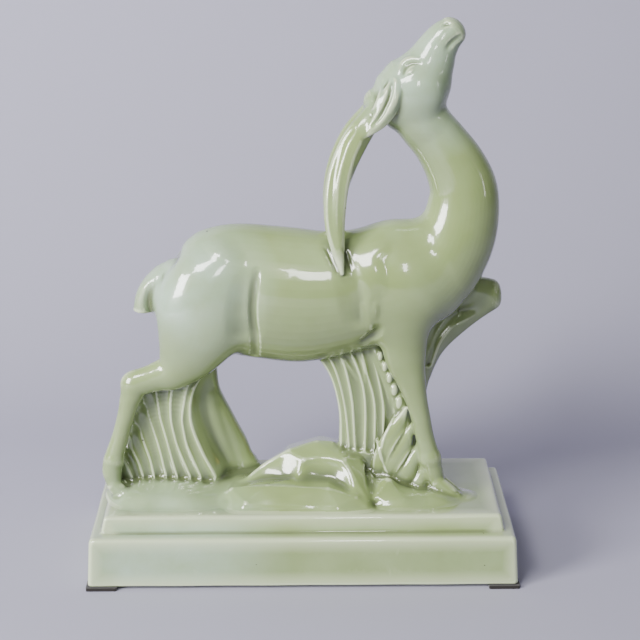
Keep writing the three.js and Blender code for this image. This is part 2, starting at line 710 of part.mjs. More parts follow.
// A turn knob: a round collar and a flat paddle for finger and thumb.
function switchKnob() {
  const from = HOLDER.y + SWITCH.knobFrom;
  const to = HOLDER.y + SWITCH.knobTo;
  const collar = rodAlongY(3.6, HOLDER.x, SWITCH.z, from, from + 4, 24);
  const paddle = ellipsoid(
    [HOLDER.x, (from + 3 + to) / 2, SWITCH.z],
    [2, (to - from - 3) / 2, SWITCH.knobRadius], 0, 20,
  );
  const bore = rodAlongY(SWITCH.shaftRadius + GAP, HOLDER.x, SWITCH.z, from - 1, from + 5 + GAP);
  return join([collar, paddle]).subtract(bore);
}

// ---------------------------------------------------------------- the bulb
const bulbCap = () =>
  turned([
    [2.4, BULB.seat + 0.8], [4.6, BULB.seat + 0.8], [5.3, BULB.seat + 2], [BULB.capRadius, BULB.seat + 3.4],
    [BULB.capRadius, BULB.capTop], [BULB.capRadius - 0.4, BULB.capTop],
    [BULB.capRadius - 0.4, BULB.seat + 3.8], [4.6, BULB.seat + 2.4], [2.4, BULB.seat + 1.4],
    [2.4, BULB.seat + 0.8],
  ]);

const bulbTipContact = () =>
  turned([[0, BULB.seat - 0.2], [1.4, BULB.seat], [2, BULB.seat + 0.7], [2, BULB.seat + 1.6],
    [0, BULB.seat + 1.6]], 16);

// Points down the outside of the glass, from the neck to the tip.
const GLASS_OUTLINE = [
  [4.9, BULB.capTop - 8], [5, BULB.capTop], [6.4, BULB.capTop + 4], [9, BULB.capTop + 9],
  [10.7, BULB.capTop + 15], [11, BULB.capTop + 21], [10.3, BULB.capTop + 28],
  [8.4, BULB.capTop + 34.5], [5.2, BULB.capTop + 40], [2.2, BULB.capTop + 43],
];

function bulbGlass() {
  const outline = new THREE.SplineCurve(GLASS_OUTLINE.map(([r, z]) => new THREE.Vector2(r, z)));
  const outer = outline.getPoints(10).map(({ x, y }) => [x, y]);
  const inner = outer.map(([r, z]) => [r - BULB.glass, Math.min(z, BULB.tip - 2.2)]).reverse();
  return turned([...outer, [0, BULB.tip - 0.5], [0, BULB.tip - 0.5 - BULB.glass],
    ...inner.slice(1), outer[0]], 18);
}

// The glass stem inside, which carries the lead wires.
const bulbMount = () =>
  turned([[0, 83], [2.6, 83], [2.6, 88], [1.6, 92], [1.3, 104], [2, 105.4], [0, 106.4]], 14);

// Two lead wires and the filament between them, as one bent wire.
function bulbFilament() {
  const x = HOLDER.x;
  const y = HOLDER.y;
  const route = [
    [x - 3, y, 93], [x - 3, y, 98], [x - 3.4, y, 104], [x - 4.6, y, 111], [x - 3.6, y, 113.4],
    [x - 1.6, y, 112], [x, y, 113.8], [x + 1.6, y, 112], [x + 3.6, y, 113.4], [x + 4.6, y, 111],
    [x + 3.4, y, 104], [x + 3, y, 98], [x + 3, y, 93],
  ];
  return limb(route.map((point) => [...point, 0.28, 0.28]), { sides: 6, perSpan: 1 });
}

// ---------------------------------------------------------------- assembly
const near = (stations) => stations;
const belowDeck = (top = p.deckTop + GAP) =>
  slab({ width: 300, depth: 200, bottom: -10, top });

const body = bodyCasting();
const bodyPlus = bodyCasting(GAP);
const headPlus = headCasting(GAP);
const nearHindPlus = hindLeg("near", GAP);
const farHindPlus = hindLeg("far", GAP);
const forelegPlus = foreleg(GAP);
const raisedPlus = raisedForeleg(GAP);
const leavesPlus = broadLeaves(GAP);
const stemPlus = seedStem(GAP);
const sheafPlus = plainClump(GRASS_SHEAF, GAP);
const reedsPlus = plainClump(REEDS, GAP);
const boulderPlus = rock(BOULDER, GAP * 1.5);
const sideRockPlus = rock(SIDE_ROCK, GAP * 1.5);
const deck = belowDeck();
const sheafHollow = plainClump(GRASS_SHEAF, -WALL - 2);
const reedHollow = plainClump(REEDS, -WALL - 2);

const horn = (side) => cut(hornCasting(side), headPlus, bodyPlus);
const ear = (side) => cut(earCasting(side), headPlus, hornCasting(side, GAP));

// Low, lumpy ground between the plants and the deck.
const leftGround = () =>
  cut(
    join([
      ellipsoid([-82, -6, 40], [36, 26, 12.5], 0, 16),
      ellipsoid([-40, -6, 40], [28, 22, 10.5], 0, 12),
    ]),
    deck, sheafPlus, nearHindPlus, farHindPlus, boulderPlus,
  );
const rightGround = () =>
  cut(
    join([
      ellipsoid([66, -12, 40], [24, 20, 9], 0, 14),
      ellipsoid([52, 2, 40], [20, 18, 8], 0, 12),
    ]),
    deck, reedsPlus, leavesPlus, forelegPlus, boulderPlus, sideRockPlus,
    rod(11.5, p.deckTop - 1, p.deckTop + 20),
  );

const PIECES = {
  plinth: ["glaze", plinthCasting()],
  antelope_body: ["glaze", cut(body, castingHollow())],
  antelope_head: ["glaze", cut(headCasting(), bodyPlus)],
  near_horn: ["glaze", horn(near)],
  far_horn: ["glaze", horn(farSide)],
  near_ear: ["glaze", ear(near)],
  far_ear: ["glaze", ear(farSide)],
  tail: ["glaze", cut(limb(TAIL, { sides: 12, flatEnd: true }), bodyPlus)],
  near_hind_leg: ["glaze", cut(hindLeg("near"), bodyPlus, deck)],
  far_hind_leg: ["glaze", cut(hindLeg("far"), bodyPlus, deck)],
  near_foreleg: ["glaze", cut(foreleg(), bodyPlus, deck)],
  raised_foreleg: ["glaze", cut(raisedForeleg(), bodyPlus)],
  grass_sheaf: ["glaze", cut(grassSheaf(), bodyPlus, nearHindPlus, farHindPlus, sheafHollow)],
  reed_clump: [
    "glaze",
    cut(reedClump(), bodyPlus, forelegPlus, leavesPlus, stemPlus, raisedPlus, reedHollow),
  ],
  knee_frond: ["glaze", cut(kneeFrond(), bodyPlus, reedsPlus, forelegPlus, raisedPlus)],
  broad_leaves: ["glaze", cut(broadLeaves(), forelegPlus, bodyPlus, stemPlus)],
  seed_stem: ["glaze", cut(seedStem(), bodyPlus, forelegPlus)],
  boulder: ["glaze", cut(rock(BOULDER), deck, reedsPlus, leavesPlus, sheafPlus, farHindPlus)],
  side_rock: ["glaze", cut(rock(SIDE_ROCK), deck, boulderPlus, reedsPlus, leavesPlus, forelegPlus)],
  left_ground: ["glaze", leftGround()],
  right_ground: ["glaze", rightGround()],
  foot_pad_front_left: ["felt", footPad(-1, -1)],
  foot_pad_front_right: ["felt", footPad(1, -1)],
  foot_pad_back_left: ["felt", footPad(-1, 1)],
  foot_pad_back_right: ["felt", footPad(1, 1)],
  cord_grommet: ["rubber", cordGrommet()],
  lamp_nipple: ["steel", tube(NIPPLE.radius, NIPPLE.bore, NIPPLE.bottom, NIPPLE.top)],
  lower_washer: ["steel", tube(7.8, NIPPLE.radius + GAP, deckUnder - GAP - 1, deckUnder - GAP)],
  lower_locknut: ["steel", hexNut(12.6, deckUnder - GAP * 2 - 5, deckUnder - GAP * 2 - 1)],
  check_ring: ["brass", tube(9.6, NIPPLE.radius + GAP, p.deckTop + GAP, ringTop)],
  socket_cap: ["brass", socketCap()],
  socket_shell: ["brass", socketShell()],
  shell_liner: ["fibre", shellLiner()],
  socket_body: ["phenolic", socketBody()],
  screw_contact: ["brass", screwContact()],
  centre_contact: ["brass", centreContact()],
  terminal_screw_hot: ["brass", terminalScrew(-1)],
  terminal_screw_neutral: ["steel", terminalScrew(1)],
  switch_shaft: ["brass", switchShaft()],
  switch_knob: ["phenolic", switchKnob()],
  bulb_cap: ["brass", bulbCap()],
  bulb_tip_contact: ["steel", bulbTipContact()],
  bulb_glass: ["glass", bulbGlass()],
  bulb_mount: ["glass", bulbMount()],
  bulb_filament: ["tungsten", bulbFilament()],
};

const materials = Object.fromEntries(
  Object.entries(COLOURS).map(([name, look]) => [name, new THREE.MeshStandardMaterial(look)]),
);

const tvLamp = new THREE.Group();
for (const [name, [finish, solid]] of Object.entries(PIECES)) {
  const mesh = new THREE.Mesh(toGeometry(solid), materials[finish]);
  mesh.name = name;
  tvLamp.add(mesh);
}

export default tvLamp;
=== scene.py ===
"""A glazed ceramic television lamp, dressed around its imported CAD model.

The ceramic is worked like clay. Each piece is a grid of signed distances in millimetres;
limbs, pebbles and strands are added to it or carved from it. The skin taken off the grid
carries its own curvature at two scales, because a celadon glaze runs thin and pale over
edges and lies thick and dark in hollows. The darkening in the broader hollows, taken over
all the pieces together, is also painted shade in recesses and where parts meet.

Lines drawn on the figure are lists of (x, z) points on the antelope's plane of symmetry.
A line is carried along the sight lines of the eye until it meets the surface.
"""
import json
import math

import bmesh
import bpy
import numpy as np
import openvdb
from mathutils import Matrix, Vector


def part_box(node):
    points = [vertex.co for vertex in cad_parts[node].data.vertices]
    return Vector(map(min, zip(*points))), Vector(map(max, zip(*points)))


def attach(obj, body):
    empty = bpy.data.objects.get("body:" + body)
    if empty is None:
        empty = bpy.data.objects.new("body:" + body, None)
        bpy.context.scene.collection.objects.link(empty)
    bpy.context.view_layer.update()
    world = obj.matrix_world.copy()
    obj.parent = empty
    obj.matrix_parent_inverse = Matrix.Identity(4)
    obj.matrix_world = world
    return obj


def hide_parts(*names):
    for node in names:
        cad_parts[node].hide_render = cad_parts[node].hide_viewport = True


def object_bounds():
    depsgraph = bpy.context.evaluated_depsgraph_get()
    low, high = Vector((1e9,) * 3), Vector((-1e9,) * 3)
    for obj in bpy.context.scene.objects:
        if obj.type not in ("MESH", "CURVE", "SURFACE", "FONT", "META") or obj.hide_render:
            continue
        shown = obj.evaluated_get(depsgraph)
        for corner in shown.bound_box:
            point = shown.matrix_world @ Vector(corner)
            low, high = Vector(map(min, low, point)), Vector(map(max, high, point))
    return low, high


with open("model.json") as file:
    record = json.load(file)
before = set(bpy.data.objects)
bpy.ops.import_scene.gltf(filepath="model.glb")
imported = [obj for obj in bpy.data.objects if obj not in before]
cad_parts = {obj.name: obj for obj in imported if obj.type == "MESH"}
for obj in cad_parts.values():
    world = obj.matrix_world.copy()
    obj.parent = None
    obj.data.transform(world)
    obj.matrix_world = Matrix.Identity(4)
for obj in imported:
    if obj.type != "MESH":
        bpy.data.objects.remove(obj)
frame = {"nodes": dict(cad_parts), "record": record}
cad_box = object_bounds()

MM = 0.001
CELL = 0.5  # grid spacing of the clay, mm
EDGE_ROUNDS = 6  # blurring that finds the edges, on the clay's grid
POOL_ROUNDS = 24  # and the hollows, on a grid twice as coarse
FAR = 12.0  # distances are kept this far either side of a surface, mm
FACE_LIMIT = 180_000  # triangles in one piece


# ---------------------------------------------------------------- places from the frame
def box_mm(node):
    low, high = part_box(node)
    return np.array(low) / MM, np.array(high) / MM


HEAD_LOW, HEAD_HIGH = box_mm("antelope_head")
PLINTH_LOW, PLINTH_HIGH = box_mm("plinth")
PIPE_LOW, PIPE_HIGH = box_mm("lamp_nipple")
GROMMET_LOW, GROMMET_HIGH = box_mm("cord_grommet")
MID_Y = (HEAD_LOW[1] + HEAD_HIGH[1]) / 2  # the antelope's plane of symmetry
DECK = PLINTH_HIGH[2]
EYE = np.array([1.1, -1005.5, 454.0])  # where the figure is looked at from
BACK_EYE = EYE * (1, -1, 1)  # and from where its back is
ROOTED = 1.0  # how far the pieces on the deck reach down into it
PLANT_FILLET, GROUND_FILLET = 2.2, 4  # the glaze round their feet


# ---------------------------------------------------------------- curves and skins
def unit(vectors):
    return vectors / np.linalg.norm(vectors, axis=-1, keepdims=True)


def through(stations, rows_per_span):
    """Rows on a smooth curve through the stations, whatever columns these have."""
    rows = np.array(stations, float)
    ends = np.vstack([2 * rows[0] - rows[1], rows, 2 * rows[-1] - rows[-2]])
    a, b, c, d = ends[:-3], ends[1:-2], ends[2:-1], ends[3:]
    t = np.linspace(0, 1, rows_per_span, endpoint=False)[:, None, None]
    curve = b + 0.5 * t * (c - a + t * (2 * a - 5 * b + 4 * c - d + t * (3 * (b - c) + d - a)))
    return np.vstack([curve.transpose(1, 0, 2).reshape(-1, rows.shape[1]), rows[-1:]])


def evenly(line, count):
    """Points at even steps along a smooth curve through the line."""
    dense = through(line, 12)
    steps = np.linalg.norm(np.diff(dense[:, :2], axis=0), axis=1)
    length = np.concatenate([[0], np.cumsum(steps)])
    places = np.linspace(0, length[-1], count)
    return np.stack([np.interp(places, length, column) for column in dense.T], axis=1)


def ring_quads(rings, sides):
    """Quads between rings of points, each ring closed on itself."""
    low = np.arange((rings - 1) * sides).reshape(-1, sides)
    right = np.roll(low, -1, axis=1)
    return np.stack([low, right, right + sides, low + sides], axis=-1).reshape(-1, 4)


def limb(stations, ends=(1.0, 1.0), sides=48, rows_per_span=8, cap_rows=6):
    """A closed skin of elliptical sections, square to a smooth path, with round ends.

    A station is (x, y, z, half width in the XZ plane, half width across it), in mm. The
    ends are the caps' lengths as shares of the path's smaller half width there.
    """
    rows = through(stations, rows_per_span)
    tangent = unit(np.gradient(rows[:, :3], axis=0))
    swell = np.sin(np.linspace(0, math.pi / 2, cap_rows + 1))[1:]
    middle = np.zeros(len(rows))
    shift = np.concatenate([-swell[::-1] * rows[0, 3:].min() * ends[0], middle,
                            swell * rows[-1, 3:].min() * ends[1]])
    scale = np.sqrt(1 - np.concatenate([swell[::-1], middle, swell]) ** 2)
    rows = np.vstack([[rows[0]] * cap_rows, rows, [rows[-1]] * cap_rows])
    tangent = np.vstack([[tangent[0]] * cap_rows, tangent, [tangent[-1]] * cap_rows])
    across = unit(np.array([0, 1, 0]) - tangent * tangent[:, 1:2])
    upright = np.cross(across, tangent)
    angle = np.linspace(0, 2 * math.pi, sides, endpoint=False)
    centre = rows[:, :3] + tangent * shift[:, None]
    ring_up = upright[:, None] * np.cos(angle)[:, None] * (rows[:, 3] * scale)[:, None, None]
    ring_out = across[:, None] * np.sin(angle)[:, None] * (rows[:, 4] * scale)[:, None, None]
    points = (centre[:, None] + ring_up + ring_out).reshape(-1, 3)
    return points, ring_quads(len(rows), sides)


def column(levels, roundness, sides=96, rows_per_span=6):
    """A closed skin whose plan at each level is a rounded four-cornered shape.

    A level is (z, then x, y of the front left, front right, back right, back left corner).
    """
    rows = through(levels, rows_per_span)
    angle = np.linspace(0, 2 * math.pi, sides, endpoint=False)
    u = (1 + np.sign(np.cos(angle)) * np.abs(np.cos(angle)) ** roundness) / 2
    v = (1 + np.sign(np.sin(angle)) * np.abs(np.sin(angle)) ** roundness) / 2
    shares = np.stack([(1 - u) * (1 - v), u * (1 - v), u * v, (1 - u) * v])
    corners = rows[:, 1:].reshape(-1, 4, 2)
    plan = np.einsum("rcp,cs->rsp", corners, shares)
    height = np.broadcast_to(rows[:, :1, None], (*plan.shape[:2], 1))
    rings = np.concatenate([plan, height], axis=2)
    centre = rings.mean(axis=1, keepdims=True)
    closed = [centre[0] + (rings[0] - centre[0]) * 1e-3, *rings,
              centre[-1] + (rings[-1] - centre[-1]) * 1e-3]
    return np.concatenate(closed), ring_quads(len(rings) + 2, sides)


def soft_min(a, b, blend):
    """The smaller of two distances, rounded where they cross within blend."""
    if blend <= 0:
        return np.minimum(a, b)
    near = np.clip(blend - np.abs(a - b), 0, None) / blend
    return np.minimum(a, b) - near * near * (blend / 4)


def softened(array, rounds):
    """The array blurred by repeated 1-2-1 averages, a standard deviation of sqrt(rounds/2)."""
    for _ in range(rounds):
        for axis in range(3):
            array = array * 0.5 + (np.roll(array, 1, axis) + np.roll(array, -1, axis)) * 0.25
    return array


# ---------------------------------------------------------------- clay
class Clay:
    """A solid kept as a grid of signed distances in mm, below zero inside it."""

    def __init__(self, low, high, cell=CELL):
        self.cell = cell
        self.low = np.floor(np.asarray(low) / (2 * cell)) * 2 * cell
        counts = np.ceil((np.asarray(high) - self.low) / cell).astype(int) + 1
        self.d = np.full(counts, FAR, np.float32)

    def window(self, low, high):
        """The part of the grid that a box covers, and its points' coordinates."""
        first = np.clip(np.floor((low - self.low) / self.cell).astype(int), 0, None)
        last = np.minimum(np.ceil((high - self.low) / self.cell).astype(int) + 1, self.d.shape)
        axes = [self.low[i] + self.cell * np.arange(first[i], last[i]) for i in range(3)]
        return tuple(map(slice, first, last)), np.ix_(*axes)

    def everywhere(self):
        return self.window(self.low, self.low + np.array(self.d.shape) * self.cell)

    def work(self, cut, distance, blend, carve):
        distance = distance.astype(np.float32)
        if carve:
            self.d[cut] = -soft_min(-self.d[cut], distance, blend)
        else:
            self.d[cut] = soft_min(self.d[cut], distance, blend)

    def distances(self, points, faces, cut):
        """Signed distances from a closed mesh over part of the grid."""
        start = np.array([span.start for span in cut])
        steps = ((points - self.low) / self.cell - start).astype(np.float32)
        kind = {3: "triangles", 4: "quads"}[faces.shape[1]]
        level = openvdb.FloatGrid.createLevelSetFromPolygons(
            steps, halfWidth=FAR / self.cell, **{kind: faces.astype(np.uint32)})
        distance = np.empty(self.d[cut].shape, np.float32)
        level.copyToArray(distance)
        return distance * self.cell

    def mesh(self, points, faces, blend=0.0, carve=False, swell=0.0):
        """Adds or carves a closed mesh, swollen evenly; the blend is FAR at most."""
        reach = FAR + self.cell
        cut, _ = self.window(points.min(0) - reach, points.max(0) + reach)
        self.work(cut, self.distances(points, faces, cut) - swell, blend, carve)

    def limb(self, stations, blend=0.0, ends=(1.0, 1.0)):
        self.mesh(*limb(stations, ends), blend=blend)

    def strand(self, rows, blend=0.0, carve=False):
        """A round strand through rows of (x, y, z, radius)."""
        rows = np.array(rows, float)
        margin = blend + 3 * self.cell
        reach = margin + rows[:, 3].max()
        cut, _ = self.window(rows[:, :3].min(0) - reach, rows[:, :3].max(0) + reach)
        distance = np.full(self.d[cut].shape, FAR, np.float32)
        corner = np.array([span.start for span in cut])
        for a, b in zip(rows[:-1], rows[1:]):
            ends = np.stack([a[:3], b[:3]])
            size = margin + max(a[3], b[3])
            part, grid = self.window(ends.min(0) - size, ends.max(0) + size)
            inner = tuple(slice(s.start - c, s.stop - c) for s, c in zip(part, corner))
            along = b[:3] - a[:3]
            offset = [axis - start for axis, start in zip(grid, a[:3])]
            share = sum(o * s for o, s in zip(offset, along)) / (along @ along)
            share = np.clip(share, 0, 1)
            gap = sum((o - share * s) ** 2 for o, s in zip(offset, along))
            near = np.sqrt(gap) - (a[3] + share * (b[3] - a[3]))
            distance[inner] = np.minimum(distance[inner], near)
        self.work(cut, distance, blend, carve)

    def pebble(self, centre, radii, blend=0.0, carve=False):
        """An ellipsoid along the axes."""
        centre, radii = np.array(centre, float), np.array(radii, float)
        reach = radii + blend + 3 * self.cell
        cut, grid = self.window(centre - reach, centre + reach)
        offset = [axis - c for axis, c in zip(grid, centre)]
        shape = np.sqrt(sum((v / r) ** 2 for v, r in zip(offset, radii)))
        slope = np.sqrt(sum((v / r ** 2) ** 2 for v, r in zip(offset, radii)))
        self.work(cut, shape * (shape - 1) / np.maximum(slope, 1e-6), blend, carve)

    def rock(self, corners, rounding, blend=0.0):
        """The convex shape around some points, with rounded edges."""
        hull = bmesh.new()
        corners = np.array(corners, float)
        inward = unit(corners.mean(0) - corners)
        for corner in corners + inward * rounding:
            hull.verts.new(corner)
        made = bmesh.ops.convex_hull(hull, input=hull.verts)
        bmesh.ops.delete(hull, geom=made["geom_interior"], context="VERTS")
        bmesh.ops.recalc_face_normals(hull, faces=hull.faces)
        hull.verts.index_update()
        points = np.array([v.co for v in hull.verts])
        faces = np.array([[v.index for v in face.verts] for face in hull.faces])
        hull.free()
        self.mesh(points, faces, blend=blend, swell=rounding)

    def wobble(self, height, length):
        """Uneven hand-finished surfaces: gentle swells of a height and a rough length."""
        rng = np.random.default_rng(7)
        _, grid = self.everywhere()
        for _ in range(5):
            pitch = rng.uniform(0.7, 1.5, 3) * 2 * math.pi / length
            phase = rng.uniform(0, 2 * math.pi, 3)
            x, y, z = (np.sin(axis * k + p) for axis, k, p in zip(grid, pitch, phase))
            self.d += (height * 0.45 * x * y * z).astype(np.float32)

    def keep_above(self, height):
        """Cuts the clay off flat at a height."""
        _, grid = self.everywhere()
        self.d = np.maximum(self.d, (height - grid[2]).astype(np.float32))

    def sample(self, array, points):
        """The grid's values at points, by linear interpolation."""
        steps = (points - self.low) / self.cell
        base = np.clip(np.floor(steps).astype(int), 0, np.array(array.shape) - 2)
        share = np.clip(steps - base, 0, 1)
        total = np.zeros(len(points))
        for corner in np.ndindex(2, 2, 2):
            weight = np.prod(np.where(corner, share, 1 - share), axis=1)
            total += weight * array[tuple((base + corner).T)]
        return total

    def normals(self, points):
        slopes = []
        for axis in np.eye(3) * self.cell:
            slopes.append(self.sample(self.d, points + axis) - self.sample(self.d, points - axis))
        return unit(np.stack(slopes, axis=1) + 1e-9)

    def cleaned(self):
        """Turns the grid's values back into true distances."""
        points, quads = self.skin()
        cut, _ = self.everywhere()
        self.d = self.distances(points, quads, cut)

    def skin(self):
        grid = openvdb.FloatGrid(FAR)
        grid.copyFromArray(self.d)
        points, quads = grid.convertToQuads(0.0)
        return points * self.cell + self.low, quads

    def neighbour(self, other):
        """Another clay's distances over this one's grid."""
        values = np.full(self.d.shape, FAR, np.float32)
        shift = np.round((other.low - self.low) / self.cell).astype(int)
        first = np.maximum(shift, 0)
        last = np.maximum(np.minimum(shift + other.d.shape, self.d.shape), first)
        here = tuple(map(slice, first, last))
        values[here] = other.d[tuple(map(slice, first - shift, last - shift))]
        return values

    def glaze_onto(self, ground, fillet):
        """Runs a fillet of glaze from this clay onto another solid's distances."""
        joined = soft_min(self.d, ground, fillet)
        self.d = np.maximum(joined, self.d - 0.9 * fillet)

    # ------------------------------------------------------------ lines on a surface
    def seen(self, places, eye):
        """Surface points that (x, z) places on the plane of symmetry cover for the eye.

        A sight line that misses the clay gives its nearest point to it. The depths are
        evened out from place to place.
        """
        start = np.stack([places[:, 0], np.full(len(places), MID_Y), places[:, 1]], axis=1)
        sight = unit(eye - start)
        steps = np.arange(-30, 45, self.cell * 0.5)
        line = start[:, None] + sight[:, None] * steps[:, None]
        depth = self.sample(self.d, line.reshape(-1, 3)).reshape(len(start), -1)
        inside = depth < 0
        last = inside.shape[1] - 1 - np.argmax(inside[:, ::-1], axis=1)
        last = np.where(inside.any(axis=1), last, np.argmin(depth, axis=1))
        reach = steps[last]
        for _ in range(4):
            reach[1:-1] = (reach[:-2] + 2 * reach[1:-1] + reach[2:]) / 4
        return start + sight * reach[:, None], sight

    def stroke(self, line, width, height, blend, eye=EYE, twin=False):
        """A ridge, or a groove if height is negative, that fades out at both ends.

        It reaches width to each side of the line. With twin, the antelope's other side
        gets the same stroke.
        """
        count = max(8, int(np.abs(np.diff(line, axis=0)).sum() / 1.5))
        places = evenly(line, count)
        surface, sight = self.seen(places, eye)
        fade = np.sin(np.linspace(0, math.pi, count)) ** 0.5
        radius = (width ** 2 + height ** 2) / (2 * abs(height))
        rise = abs(height) * fade - 0.6 * blend * (1 - fade)
        lift = (rise - radius) * np.sign(height)
        rows = np.column_stack([surface + sight * lift[:, None], np.full(count, radius)])
        self.strand(rows, blend, carve=height < 0)
        if twin:
            self.strand(rows * (1, -1, 1, 1) + (0, 2 * MID_Y, 0, 0), blend, carve=height < 0)

    def flutes(self, crests, depth, blend, eye=EYE):
        """Hollow channels between neighbouring crest lines."""
        channels = []
        for left, right in zip(crests[:-1], crests[1:]):
            a, b = evenly(left, 24), evenly(right, 24)
            surface, sight = self.seen((a + b) / 2, eye)
            half = np.linalg.norm(a - b, axis=1) / 2
            sink = np.minimum(depth, half * 0.6)
            radius = (half ** 2 + sink ** 2) / (2 * sink)
            centre = surface + sight * (radius - sink)[:, None]
            channels.append(np.column_stack([centre, radius]))
        for rows in channels:
            self.strand(rows, blend, carve=True)


# ---------------------------------------------------------------- objects
def new_mesh(name, points, faces):
    """A mesh from points in mm and faces that all have as many corners."""
    mesh = bpy.data.meshes.new(name)
    mesh.vertices.add(len(points))
    mesh.vertices.foreach_set("co", (points * MM).astype(np.float32).ravel())
    mesh.loops.add(faces.size)
    mesh.loops.foreach_set("vertex_index", faces.astype(np.int32).ravel())
    mesh.polygons.add(len(faces))
    starts = np.arange(0, faces.size, faces.shape[1], dtype=np.int32)
    mesh.polygons.foreach_set("loop_start", starts)
    mesh.update(calc_edges=True)
    return mesh


def new_object(name, data):
    piece = bpy.data.objects.new(name, data)
    bpy.context.scene.collection.objects.link(piece)
    return piece


def thinned(piece):
    """Collapses edges until the piece is within the face limit."""
    triangles = 2 * len(piece.data.polygons)
    if triangles > FACE_LIMIT:
        piece.modifiers.new("thin", "DECIMATE").ratio = FACE_LIMIT / triangles
        graph = bpy.context.evaluated_depsgraph_get()
        mesh = bpy.data.meshes.new_from_object(piece.evaluated_get(graph))
        piece.modifiers.clear()
        piece.data = mesh


def positions(mesh):
    points = np.empty(3 * len(mesh.vertices), np.float32)
    mesh.vertices.foreach_get("co", points)
    return points.reshape(-1, 3) / MM


def curvature(distance, cell, rounds):
    """The sum of the principal curvatures per mm, over about sqrt(rounds/2) cells."""
    return (softened(distance, rounds) - distance) * (4 / (rounds * cell ** 2))


def glazed(name, clay, others, hollows, nodes):
    """The clay's skin as a piece that knows its edges and hollows among the other clays."""
    points, quads = clay.skin()
    piece = new_object(name, new_mesh(name, points, quads))
    thinned(piece)
    mesh = piece.data
    points = positions(mesh)
    whole = clay.d
    for other in others:
        whole = np.minimum(whole, clay.neighbour(other))
    fine = curvature(whole, clay.cell, EDGE_ROUNDS)
    # pool_and_shade: the broad hollows of all pieces together, later darkened as thick glaze and
    # painted shade
    layers = {"edge": clay.sample(fine, points), "pool_and_shade": hollows(points), "rim": rims(points)}
    for label, values in layers.items():
        layer = mesh.attributes.new(label, "FLOAT", "POINT")
        layer.data.foreach_set("value", values.astype(np.float32))
    mesh.shade_smooth()
    mesh.normals_split_custom_set_from_vertices(clay.normals(points).tolist())
    mesh.materials.append(GLAZE)
    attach(piece, "lamp")
    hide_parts(*nodes)
    return piece


# ---------------------------------------------------------------- the antelope
def mirrored(stations):
    """The stations on the antelope's other side."""
    return [(x, 2 * MID_Y - y, *rest) for x, y, *rest in stations]


def central(stations):
    """Stations on the plane of symmetry, from ones without their y."""
    return [(x, MID_Y, *rest) for x, *rest in stations]


TRUNK = central([
    (-80, 165, 17, 13), (-76, 164.7, 21, 16), (-69, 164, 28, 20), (-58, 165, 35.2, 23),
    (-40, 167.5, 39, 24), (-20, 165.5, 40, 25.5), (0, 163.5, 40, 26),
    (20, 165, 37.3, 25.4), (40, 169.5, 34.8, 24.4), (60, 175.5, 34.5, 23),
    (74, 179.5, 28.5, 19), (82, 183, 20, 15),
])
NECK = central([
    (70, 172, 24, 20), (81, 183.5, 24.5, 20.5), (88.5, 197, 23.4, 19.8),
    (92.5, 211, 21.6, 17.8), (93, 226, 19.8, 16), (88, 240, 17.8, 14.3),
    (79.2, 253.7, 15.8, 12.8), (70, 264.2, 15, 12), (63, 271, 12.5, 11.5),
])
HAUNCH = [
    (-44, -17, 187, 13, 10), (-52.5, -18.5, 172, 24.5, 14),
    (-58.3, -19, 151, 26.8, 15), (-67, -18.5, 132, 18.6, 11.5),
    (-76, -18, 121.3, 11.8, 8),
]
NEAR_SHANK = [
    (-86, -18, 117.6, 8.6, 6.4), (-96.3, -18, 113.3, 7.9, 6),
    (-100.6, -18, 104.5, 6.3, 5.4), (-103, -18, 96, 5.3, 4.9),
    (-107, -18, 82, 5, 4.7), (-111, -18, 69, 5.7, 5.2),
    (-112.8, -18, 60, 6, 5.4), (-112.4, -18.5, 54, 5, 4.8),
]
FAR_SHANK = [
    (-61, 7, 127, 11, 7.4), (-62, 8.5, 114, 7.6, 6.2),
    (-57.2, 9.5, 102, 5.8, 5.4), (-50.8, 10, 90, 5, 4.9),
    (-44.2, 10.5, 77, 5, 4.8), (-39.8, 11, 67.5, 5.6, 5.2),
    (-37.3, 11, 61.5, 5, 4.8),
]
SHOULDER = [
    (66, -11, 192, 12, 8), (62.5, -16.5, 180, 19, 12), (60, -18, 166, 20.5, 13),
    (58.9, -18.2, 152, 16.5, 11), (59.5, -17.3, 137, 13.3, 8.6),
]
FORELEG = [
    (60.8, -17, 126, 11.5, 7.4), (63.8, -17, 115, 8.7, 6.5),
    (67.5, -17, 101, 6.4, 5.6), (69.9, -17, 91, 5.8, 5.3),
    (72.4, -17, 79, 5.5, 5), (75.3, -17, 66.5, 6.4, 5.6),
    (77.8, -17, 57, 6, 5.4), (79.6, -17, 52.5, 5, 4.9),
]
RAISED_ARM = [
    (66, 3, 170, 16, 9), (74, 5, 163, 14, 8.5), (84, 7.5, 160.5, 12, 7.8),
    (98, 9, 161, 9.3, 7), (106, 9, 161.2, 8.8, 6.8), (111.4, 9, 160.3, 8.6, 6.6),
]
RAISED_CANNON = [
    (112, 9, 156, 6.4, 5.6), (101, 9, 146.5, 5, 4.8), (89.5, 9, 135.6, 4.2, 4.4),
    (81, 8.5, 126, 3.8, 4.2), (76.2, 8, 118, 4, 4.4), (73.4, 7.5, 111, 3.6, 4.4),
]
CRANIUM = central([
    (44, 275, 10.5, 8.5), (48.5, 276.6, 15.6, 11.5), (55.3, 279.3, 18.8, 13),
    (60, 281.6, 19.8, 13.4),
])
JAW = central([
    (74.3, 300, 11, 9), (71, 289, 12.5, 11.5), (68.8, 276, 13, 12),
    (69.5, 265, 13.5, 12),
])
MUZZLE = central([
    (62, 280.5, 16, 12), (65.3, 286.3, 18.4, 13), (69, 292.4, 17.6, 12.4),
    (73, 300, 13.8, 10.5), (76.7, 307.1, 11.6, 8.8), (80.7, 312.8, 10.2, 8),
    (84.8, 316.7, 8.8, 7),
])
